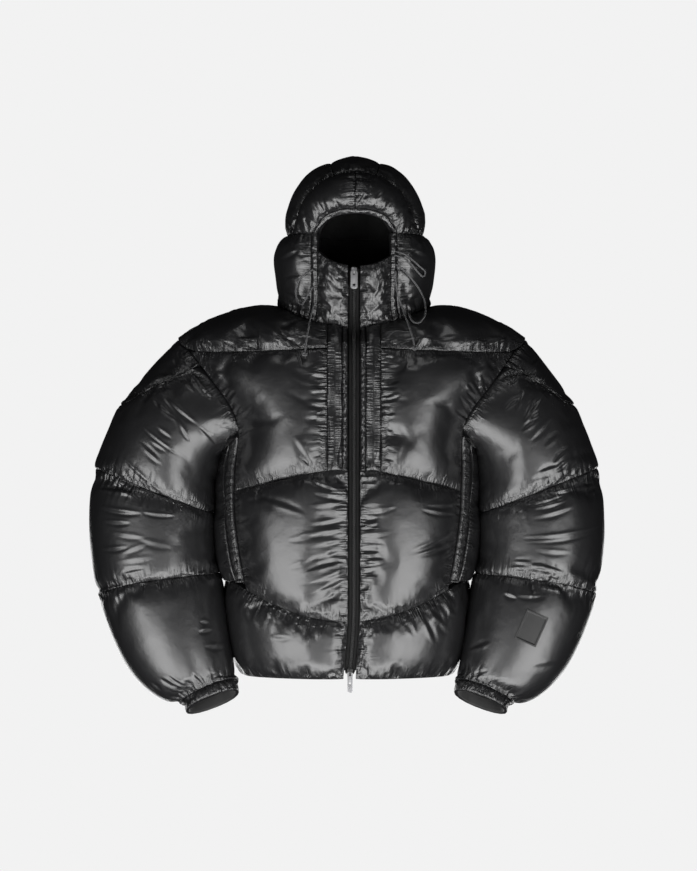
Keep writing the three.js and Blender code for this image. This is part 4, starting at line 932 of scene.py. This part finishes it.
# The drawcords' routes, in metres, as in the solids.
CORD_ROUTES = {
    "drawcord_right": [
        (-0.0692, -0.0832, 0.0267), (-0.0707, -0.0829, 0.0209), (-0.0723, -0.0826, 0.0151),
        (-0.0738, -0.0842, 0.0095), (-0.0749, -0.0887, 0.0057), (-0.0756, -0.094, 0.0029),
        (-0.0762, -0.0993, -0.0001), (-0.0766, -0.1045, -0.0031), (-0.077, -0.1099, -0.0059),
        (-0.0774, -0.1151, -0.0089), (-0.0778, -0.1202, -0.0122), (-0.0783, -0.125, -0.0159),
        (-0.079, -0.1294, -0.02), (-0.0797, -0.1336, -0.0243), (-0.0805, -0.1373, -0.029),
        (-0.0813, -0.1404, -0.0342), (-0.082, -0.1424, -0.0398), (-0.0827, -0.1436, -0.0457),
        (-0.0834, -0.1446, -0.0517), (-0.0842, -0.1457, -0.0576),
    ],
    "cord_loop_right": [
        (-0.071, -0.0974, 0.0873), (-0.0763, -0.0975, 0.0844), (-0.0814, -0.0972, 0.0813),
        (-0.0861, -0.0955, 0.0778), (-0.0903, -0.0932, 0.0742), (-0.0941, -0.0907, 0.0703),
        (-0.097, -0.088, 0.0657), (-0.099, -0.0851, 0.0608), (-0.1002, -0.0823, 0.0556),
        (-0.1008, -0.0802, 0.05), (-0.1004, -0.0792, 0.0441), (-0.0993, -0.0792, 0.0382),
        (-0.0972, -0.0801, 0.0327), (-0.0935, -0.0827, 0.0288), (-0.0889, -0.0862, 0.0281),
        (-0.0859, -0.089, 0.0324), (-0.0831, -0.0905, 0.0375), (-0.0804, -0.0904, 0.0429),
        (-0.0776, -0.0903, 0.0482), (-0.0741, -0.0908, 0.0531), (-0.0705, -0.0914, 0.0579),
    ],
    "drawcord_left": [
        (0.0712, -0.098, 0.0853), (0.0713, -0.0969, 0.0794), (0.0714, -0.0958, 0.0733),
        (0.0717, -0.0946, 0.0674), (0.0723, -0.0934, 0.0614), (0.0732, -0.092, 0.0555),
        (0.0742, -0.0906, 0.0497), (0.0756, -0.0892, 0.0439), (0.0772, -0.0875, 0.0383),
        (0.0791, -0.0853, 0.0329), (0.0812, -0.0832, 0.0275), (0.0833, -0.0819, 0.022),
        (0.0854, -0.083, 0.0164), (0.0869, -0.0867, 0.0119), (0.0882, -0.0913, 0.008),
        (0.0894, -0.0959, 0.0042), (0.0906, -0.1007, 0.0007), (0.0917, -0.1057, -0.0027),
        (0.0928, -0.1107, -0.006), (0.0939, -0.1156, -0.0095), (0.095, -0.1204, -0.0131),
        (0.096, -0.1253, -0.0166), (0.0971, -0.1298, -0.0205), (0.0983, -0.1336, -0.0251),
        (0.0998, -0.1362, -0.0305), (0.1013, -0.138, -0.0361), (0.1027, -0.1395, -0.0418),
        (0.1042, -0.1412, -0.0475),
    ],
    "cord_loop_left": [
        (0.0708, -0.0983, 0.097), (0.0757, -0.0996, 0.0937), (0.0806, -0.1006, 0.0902),
        (0.0852, -0.0999, 0.0864), (0.0893, -0.0979, 0.0824), (0.0931, -0.0954, 0.0784),
        (0.0967, -0.0924, 0.0745), (0.1001, -0.0891, 0.0707), (0.1032, -0.0853, 0.0671),
        (0.1061, -0.0811, 0.0637), (0.1088, -0.0768, 0.0604), (0.1113, -0.0725, 0.0569),
        (0.1137, -0.0683, 0.0533), (0.1158, -0.0637, 0.0499), (0.1177, -0.059, 0.0466),
        (0.1196, -0.0547, 0.0428), (0.1216, -0.0526, 0.0376), (0.1227, -0.0557, 0.0326),
        (0.1233, -0.0603, 0.0287), (0.1236, -0.0653, 0.0252), (0.1237, -0.0704, 0.0219),
        (0.1236, -0.0755, 0.0186), (0.1233, -0.0805, 0.0152), (0.1228, -0.0857, 0.012),
        (0.1221, -0.0909, 0.009), (0.121, -0.0961, 0.0062), (0.1195, -0.1013, 0.0033),
        (0.1173, -0.1062, 0.0004), (0.1146, -0.1108, -0.0025), (0.1111, -0.115, -0.0051),
        (0.1057, -0.1159, -0.0052), (0.1013, -0.1128, -0.0025), (0.0982, -0.1087, 0.0007),
        (0.0966, -0.104, 0.0042), (0.0956, -0.0992, 0.0077), (0.0944, -0.0944, 0.0113),
    ],
    "small_loop_left": [
        (0.07, -0.0998, 0.1122), (0.0757, -0.1014, 0.1107), (0.0813, -0.1026, 0.1089),
        (0.0866, -0.102, 0.106), (0.0914, -0.1005, 0.1026), (0.0958, -0.0984, 0.099),
        (0.0999, -0.0959, 0.0954), (0.1034, -0.0927, 0.0916), (0.1065, -0.0891, 0.0878),
        (0.1094, -0.0853, 0.0842), (0.1125, -0.0811, 0.0811), (0.1155, -0.0766, 0.0784),
        (0.1186, -0.0719, 0.0763), (0.122, -0.0683, 0.078), (0.1233, -0.0692, 0.0837),
        (0.1215, -0.0735, 0.0872), (0.1186, -0.0784, 0.0893), (0.1154, -0.0831, 0.0914),
        (0.1121, -0.0874, 0.0942), (0.1087, -0.0914, 0.0971), (0.1051, -0.0951, 0.1002),
        (0.1011, -0.0984, 0.1033), (0.0969, -0.1011, 0.1067), (0.0924, -0.1032, 0.1102),
        (0.0874, -0.1043, 0.1135), (0.0819, -0.1036, 0.1158), (0.0765, -0.1015, 0.1174),
        (0.071, -0.0995, 0.1189),
    ],
}
KNOTTED = ("drawcord_left", "drawcord_right")


def cord_tube(name, route, radius):
    """A mesh tube along a route, from a bevelled curve."""
    curve = bpy.data.curves.new(name, "CURVE")
    curve.dimensions = "3D"
    curve.bevel_depth = radius
    curve.bevel_resolution = 3
    curve.use_fill_caps = True
    spline = curve.splines.new("POLY")
    spline.points.add(len(route) - 1)
    for point, place in zip(spline.points, route):
        point.co = (*place, 1)
    holder = bpy.data.objects.new(name, curve)
    bpy.context.scene.collection.objects.link(holder)
    depsgraph = bpy.context.evaluated_depsgraph_get()
    mesh = bpy.data.meshes.new_from_object(holder.evaluated_get(depsgraph))
    bpy.data.objects.remove(holder)
    bpy.data.curves.remove(curve)
    bm = bmesh.new()
    bm.from_mesh(mesh)
    bpy.data.meshes.remove(mesh)
    bmesh.ops.remove_doubles(bm, verts=bm.verts, dist=1e-6)
    return new_piece(name, bm, ["cord"])


def knot(name, place, direction, width):
    """A small overhand knot: a tube wound over itself at the cord's end."""
    turn = direction.to_track_quat("Z", "Y")
    route = []
    for index in range(37):
        angle = 2 * math.pi * index / 36
        ring = 0.30 + 0.13 * math.cos(3 * angle)
        spot = Vector((ring * math.cos(2 * angle), ring * math.sin(2 * angle), 0.22 * math.sin(3 * angle)))
        route.append(place + turn @ (spot * width))
    return cord_tube(name, route, settings("cords").diameter * 0.46)


class JACKET_OT_cords(bpy.types.Operator):
    """Hangs the drawcords and their loops from the hood"""

    bl_idname = "jacket.cords"
    bl_label = "Drawcords"

    def execute(self, context):
        sizes = settings("cords")
        for name, points in CORD_ROUTES.items():
            route = [Vector(point) for point in points]
            tube = cord_tube(f"{name}_braid", route, sizes.diameter / 2)
            carried(tube, "cord", BODY, name)
            if name in KNOTTED:
                run = (route[-1] - route[-2]).normalized()
                end = knot(f"{name}_knot", route[-1] + run * 0.002, run, sizes.knot)
                carried(end, "cord")
        return {"FINISHED"}


class JACKET_OT_torso(bpy.types.Operator):
    """Makes the padded panels of the body"""

    bl_idname = "jacket.torso"
    bl_label = "Body panels"

    def execute(self, context):
        for name in TORSO:
            make_panel(name, "torso")
        return {"FINISHED"}


class JACKET_OT_sleeves(bpy.types.Operator):
    """Makes the padded lengths of the sleeves"""

    bl_idname = "jacket.sleeves"
    bl_label = "Sleeves"

    def execute(self, context):
        for name in SLEEVES:
            make_panel(name, "sleeve")
        return {"FINISHED"}


class JACKET_OT_hood(bpy.types.Operator):
    """Makes the padded panels of the hood and collar"""

    bl_idname = "jacket.hood"
    bl_label = "Hood"

    def execute(self, context):
        for name in HOOD:
            make_panel(name, "hood")
        return {"FINISHED"}


# The hood lining: what joins its parts, how far it stands off, and its waves.
LINING_MERGE = 0.0016
LINING_LIFT = 0.0022
LINING_WAVES = 19
LINING_WAVE = 0.0009


class JACKET_OT_lining(bpy.types.Operator):
    """Lines the hood with one plain sheet that closes its seams from inside"""

    bl_idname = "jacket.lining"
    bl_label = "Hood lining"

    def execute(self, context):
        bm = bmesh.new()
        for name in HOOD + ["hood_rim"]:
            part = merged_copy(name)
            sort_faces(part, hollow_boxes("hood"))
            away = [face for face in part.faces if face.material_index != LINING]
            bmesh.ops.delete(part, geom=away, context="FACES")
            mesh = bpy.data.meshes.new("part")
            part.to_mesh(mesh)
            part.free()
            bm.from_mesh(mesh)
            bpy.data.meshes.remove(mesh)
        bmesh.ops.remove_doubles(bm, verts=bm.verts, dist=LINING_MERGE)
        bm.normal_update()
        for vertex in bm.verts:
            vertex.co += vertex.normal * LINING_LIFT
        for face in bm.faces:
            face.material_index = 0
        piece = new_piece("hood_lining", bm, ["lining"])
        subdivide(piece, 2)
        bm = bmesh.new()
        bm.from_mesh(piece.data)
        bm.normal_update()
        for vertex in bm.verts:
            angle = math.atan2(vertex.co.x, -vertex.co.y)
            height = 0.6 + 0.4 * noise.noise(vertex.co * 9)
            wave = math.sin(LINING_WAVES * angle + 3 * noise.noise(vertex.co * 14)) * height
            vertex.co += vertex.normal * (LINING_WAVE * (1 + wave))
        area = sum(face.calc_area() for face in bm.faces)
        bm.to_mesh(piece.data)
        bm.free()
        piece.data.shade_smooth()
        carried(piece, "shell")
        return {"FINISHED"}


class JACKET_OT_fill(bpy.types.Operator):
    """Fills all the panels out together, so that their seams gather"""

    bl_idname = "jacket.fill"
    bl_label = "Fill out"

    def execute(self, context):
        starts = {}
        for name, piece in panels.items():
            starts[name] = [v.co.copy() for v in piece.data.vertices]
            for vertex, weight in zip(piece.data.vertices, weights_of(piece, "held")):
                stir = noise.noise(vertex.co * 45) + 0.8 * noise.noise(vertex.co * 150)
                vertex.co += vertex.normal * (STIR_HEIGHT * stir * (1 - weight))
            set_up_cloth(piece)
        for step in range(1, settings("cloth").steps + 1):
            context.scene.frame_set(step)
        for name, piece in panels.items():
            keep_fill(piece, starts[name])
        context.scene.frame_set(1)
        for index, piece in enumerate(panels.values()):
            finish_panel(piece, index * 3.3)
        return {"FINISHED"}


class JACKET_OT_bands(bpy.types.Operator):
    """Makes the gathered bands: pocket welts, zip edgings, hood channels, hood rim and cuffs"""

    bl_idname = "jacket.bands"
    bl_label = "Gathered bands"

    def execute(self, context):
        for kind, names in (("torso", TORSO_BANDS), ("hood", HOOD_BANDS), ("sleeve", CUFFS)):
            for name in names:
                cloth = "shell" if name.startswith(SMOOTH_BANDS) else "gathered"
                make_panel(name, kind, levels=1, cloth=cloth)
        return {"FINISHED"}


class JACKET_OT_zip(bpy.types.Operator):
    """Lays the zip's tapes and teeth"""

    bl_idname = "jacket.zip"
    bl_label = "Zip"

    def execute(self, context):
        for name in both("zip_tape"):
            bm = merged_copy(name)
            piece = new_piece(f"{name}_woven", bm, ["tape"])
            subdivide(piece, 1)
            carried(piece, "zip_tape", BODY, name)
        self.teeth()
        return {"FINISHED"}

    def chain_route(self):
        """The middle of the chain's front, from its foot to its top."""
        bm = merged_copy("zip_chain")
        levels = {}
        for face in bm.faces:
            if face.normal.y < -0.6:
                for vertex in face.verts:
                    levels.setdefault(round(vertex.co.z, 3), []).append(vertex.co.copy())
        bm.free()
        return [sum(levels[level], Vector()) / len(levels[level]) for level in sorted(levels)]

    def teeth(self):
        """Two rows of moulded teeth, one set between the other's, on the chain's solid."""
        sizes = settings("zip")
        route = self.chain_route()
        bm = merged_copy("zip_chain")
        solid = list(bm.verts)
        covered, count = 0.0, 0
        for a, b in zip(route, route[1:]):
            run = (b - a).length
            lean = math.atan2(b.y - a.y, b.z - a.z)
            while covered < run:
                spot = a.lerp(b, covered / run)
                side = 1 if count % 2 else -1
                place = Matrix.Translation(spot + Vector((side * 0.0011, -0.0003, 0)))
                turn = Matrix.Rotation(-lean, 4, "X")
                shape = Matrix.Diagonal((sizes.tooth_width, 0.0018, sizes.pitch * 0.4, 1))
                bmesh.ops.create_cube(bm, size=1, matrix=place @ turn @ shape)
                covered += sizes.pitch / 2
                count += 1
            covered -= run
        teeth = set(bm.verts) - set(solid)
        edges = [e for e in bm.edges if e.verts[0] in teeth]
        bmesh.ops.bevel(
            bm, geom=edges, offset=0.00028, segments=1, profile=0.5, affect="EDGES", material=-1
        )
        piece = new_piece("zip_teeth", bm, ["tooth"], smooth=False)
        carried(piece, "zip_chain", BODY, "zip_chain")


class JACKET_OT_pulls(bpy.types.Operator):
    """Makes the two sliders and their pull tabs, with rounded edges"""

    bl_idname = "jacket.pulls"
    bl_label = "Sliders and pull tabs"

    def execute(self, context):
        # The lower slider takes a near-black finish where the upper keeps its metal: painted shade.
        for place, slider_finish in (("upper", "metal"), ("lower", "shaded_slider")):
            self.rounded(f"{place}_slider", BODY, 0.0006, slider_finish)
            self.rounded(f"{place}_pull_tab", f"{place}_pull", 0.0004, "metal")
        return {"FINISHED"}

    def rounded(self, name, body, edge, finish):
        bm = bmesh.new()
        bm.from_mesh(frame["nodes"][name].data)
        bmesh.ops.remove_doubles(bm, verts=bm.verts, dist=MERGE)
        bmesh.ops.dissolve_limit(bm, angle_limit=0.02, verts=bm.verts, edges=bm.edges)
        sharp = [e for e in bm.edges if len(e.link_faces) == 2 and e.calc_face_angle(0) > 0.6]
        bmesh.ops.bevel(
            bm, geom=sharp, offset=edge, segments=3, profile=0.5, affect="EDGES", material=-1,
            clamp_overlap=True,
        )
        bmesh.ops.triangulate(bm, faces=[f for f in bm.faces if len(f.verts) > 4])
        piece = new_piece(f"{name}_nickel", bm, [finish])
        carried(piece, "metal", body, name)


# The sleeve patch: its plain rim, the groove inside it, and how it is laid on the cloth.
PATCH_RIM = 0.0028
PATCH_GROOVE = 0.0006
PATCH_SUNK = 0.0007
PATCH_CLEAR = 0.0008
PATCH_SHARE = 0.85
PROBE_HEIGHT = 0.05


class JACKET_OT_label(bpy.types.Operator):
    """Makes the blank moulded patch on the wearer's left sleeve"""

    bl_idname = "jacket.label"
    bl_label = "Sleeve patch"

    def execute(self, context):
        bm = merged_copy("sleeve_label")
        front = [face for face in bm.faces if face.normal.y < -0.3]
        out = sum((face.normal * face.calc_area() for face in front), Vector()).normalized()
        bmesh.ops.inset_region(bm, faces=front, thickness=PATCH_RIM, depth=0, use_even_offset=True)
        bmesh.ops.inset_region(
            bm, faces=front, thickness=PATCH_GROOVE, depth=-PATCH_SUNK, use_even_offset=True
        )
        self.lay_on_cloth(bm, out)
        piece = new_piece("sleeve_patch", bm, ["label"], smooth=False)
        carried(piece, "label", BODY, "sleeve_label")
        return {"FINISHED"}

    def lay_on_cloth(self, bm, out):
        """Moves the patch out onto the filled cloth of its sleeve."""
        cloth = bmesh.new()
        cloth.from_mesh(panels["sleeve_lower_left"].data)
        tree = BVHTree.FromBMesh(cloth)
        cloth.free()
        bmesh.ops.subdivide_edges(bm, edges=bm.edges, cuts=3, use_grid_fill=True)
        heights = {}
        for vertex in bm.verts:
            hit = tree.ray_cast(vertex.co + out * PROBE_HEIGHT, -out, 2 * PROBE_HEIGHT)[0]
            heights[vertex] = (hit - vertex.co).dot(out) if hit else 0.0
        lift = sorted(heights.values())[int(PATCH_SHARE * len(heights))]
        for vertex in heights:
            vertex.co += out * max(lift + PATCH_CLEAR, 0)


# Softboxes: name, place, size across and up, and power.
LIGHTS = [
    ("key_left", (-1.5, -2.6, -1.4), (2.0, 2.2), 92),
    ("key_right", (1.5, -2.6, -1.4), (2.0, 2.2), 92),
    ("low", (0, -1.7, -2.7), (3.0, 1.0), 75),
    ("top", (0, -1.6, 2.6), (1.6, 0.7), 8),
    ("front", (0, -3.4, -0.6), (1.2, 1.2), 4),
    ("back_left", (-1.2, 3.0, -1.2), (1.4, 1.4), 16),
    ("back_right", (1.2, 3.0, -1.2), (1.4, 1.4), 16),
]


class JACKET_OT_studio(bpy.types.Operator):
    """Sets the pale floor and backdrop and the soft lights"""

    bl_idname = "jacket.studio"
    bl_label = "Studio"

    def execute(self, context):
        self.backdrop(context)
        for name, place, (across, up), power in LIGHTS:
            light = bpy.data.lights.new(name, "AREA")
            light.shape = "RECTANGLE"
            light.size = across
            light.size_y = up
            light.energy = power
            holder = bpy.data.objects.new(name, light)
            holder.location = place
            aim = Vector((0, 0, -0.25)) - Vector(place)
            holder.rotation_euler = aim.to_track_quat("-Z", "Y").to_euler()
            holder.visible_camera = False
            context.scene.collection.objects.link(holder)
        world = bpy.data.worlds.new("studio")
        world.use_nodes = True
        world.node_tree.nodes["Background"].inputs["Color"].default_value = (0.009, 0.009, 0.0095, 1)
        context.scene.world = world
        context.scene.view_settings.view_transform = "Standard"
        context.scene.view_settings.look = "None"
        return {"FINISHED"}

    def backdrop(self, context):
        """A wide pale floor that curves up into walls and a ceiling all round."""
        bm = bmesh.new()
        outline = [(0, -2.9), (10, -2.9), (11.2, -2.5), (12, -1.5), (12, 8), (0, 8)]
        verts = [bm.verts.new((x, 0, z)) for x, z in outline]
        edges = [bm.edges.new(pair) for pair in zip(verts, verts[1:])]
        bmesh.ops.spin(
            bm, geom=verts + edges, axis=(0, 0, 1), cent=(0, 0, 0), angle=2 * math.pi,
            steps=48, use_merge=True,
        )
        bmesh.ops.remove_doubles(bm, verts=bm.verts, dist=1e-4)
        mesh = bpy.data.meshes.new("backdrop")
        bm.to_mesh(mesh)
        bm.free()
        mesh.shade_smooth()
        material = bpy.data.materials.new("backdrop_paper")
        material.use_nodes = True
        tree = material.node_tree
        tree.nodes.clear()
        glow = node(tree, "ShaderNodeEmission", Color=(0.888, 0.888, 0.888, 1), Strength=1.0)
        out = tree.nodes.new("ShaderNodeOutputMaterial")
        tree.links.new(glow.outputs["Emission"], out.inputs["Surface"])
        mesh.materials.append(material)
        piece = bpy.data.objects.new("backdrop", mesh)
        context.scene.collection.objects.link(piece)
        piece.visible_diffuse = False
        piece.visible_glossy = False
        piece.visible_transmission = False
        piece.visible_shadow = False


class JACKET_PT_panel(bpy.types.Panel):
    """Lists the jacket's pieces in the order in which they are made"""

    bl_idname = "JACKET_PT_panel"
    bl_label = "Puffer Jacket"
    bl_space_type = "VIEW_3D"
    bl_region_type = "UI"
    bl_category = "Jacket"

    def draw(self, context):
        for group in GROUPS:
            box = self.layout.box()
            values = getattr(context.scene, group)
            for key in values.bl_rna.properties.keys():
                if key not in ("rna_type", "name"):
                    box.prop(values, key)
        for operator in OPERATORS:
            self.layout.operator(operator.bl_idname)


GROUPS = {
    "jacket_cloth": JacketCloth,
    "jacket_finish": JacketFinish,
    "jacket_zip": JacketZip,
    "jacket_cords": JacketCords,
}
OPERATORS = (
    JACKET_OT_camera,
    JACKET_OT_cords,
    JACKET_OT_torso,
    JACKET_OT_sleeves,
    JACKET_OT_hood,
    JACKET_OT_bands,
    JACKET_OT_lining,
    JACKET_OT_fill,
    JACKET_OT_zip,
    JACKET_OT_pulls,
    JACKET_OT_label,
    JACKET_OT_studio,
)


def register():
    for name, group in GROUPS.items():
        bpy.utils.register_class(group)
        setattr(bpy.types.Scene, name, PointerProperty(type=group))
    for cls in (*OPERATORS, JACKET_PT_panel):
        bpy.utils.register_class(cls)


def unregister():
    for cls in reversed((*OPERATORS, JACKET_PT_panel)):
        bpy.utils.unregister_class(cls)
    for name, group in GROUPS.items():
        delattr(bpy.types.Scene, name)
        bpy.utils.unregister_class(group)


def main():
    register()
    for operator in OPERATORS:
        section, name = operator.bl_idname.split(".")
        getattr(getattr(bpy.ops, section), name)()


if __name__ == "__main__":
    main()
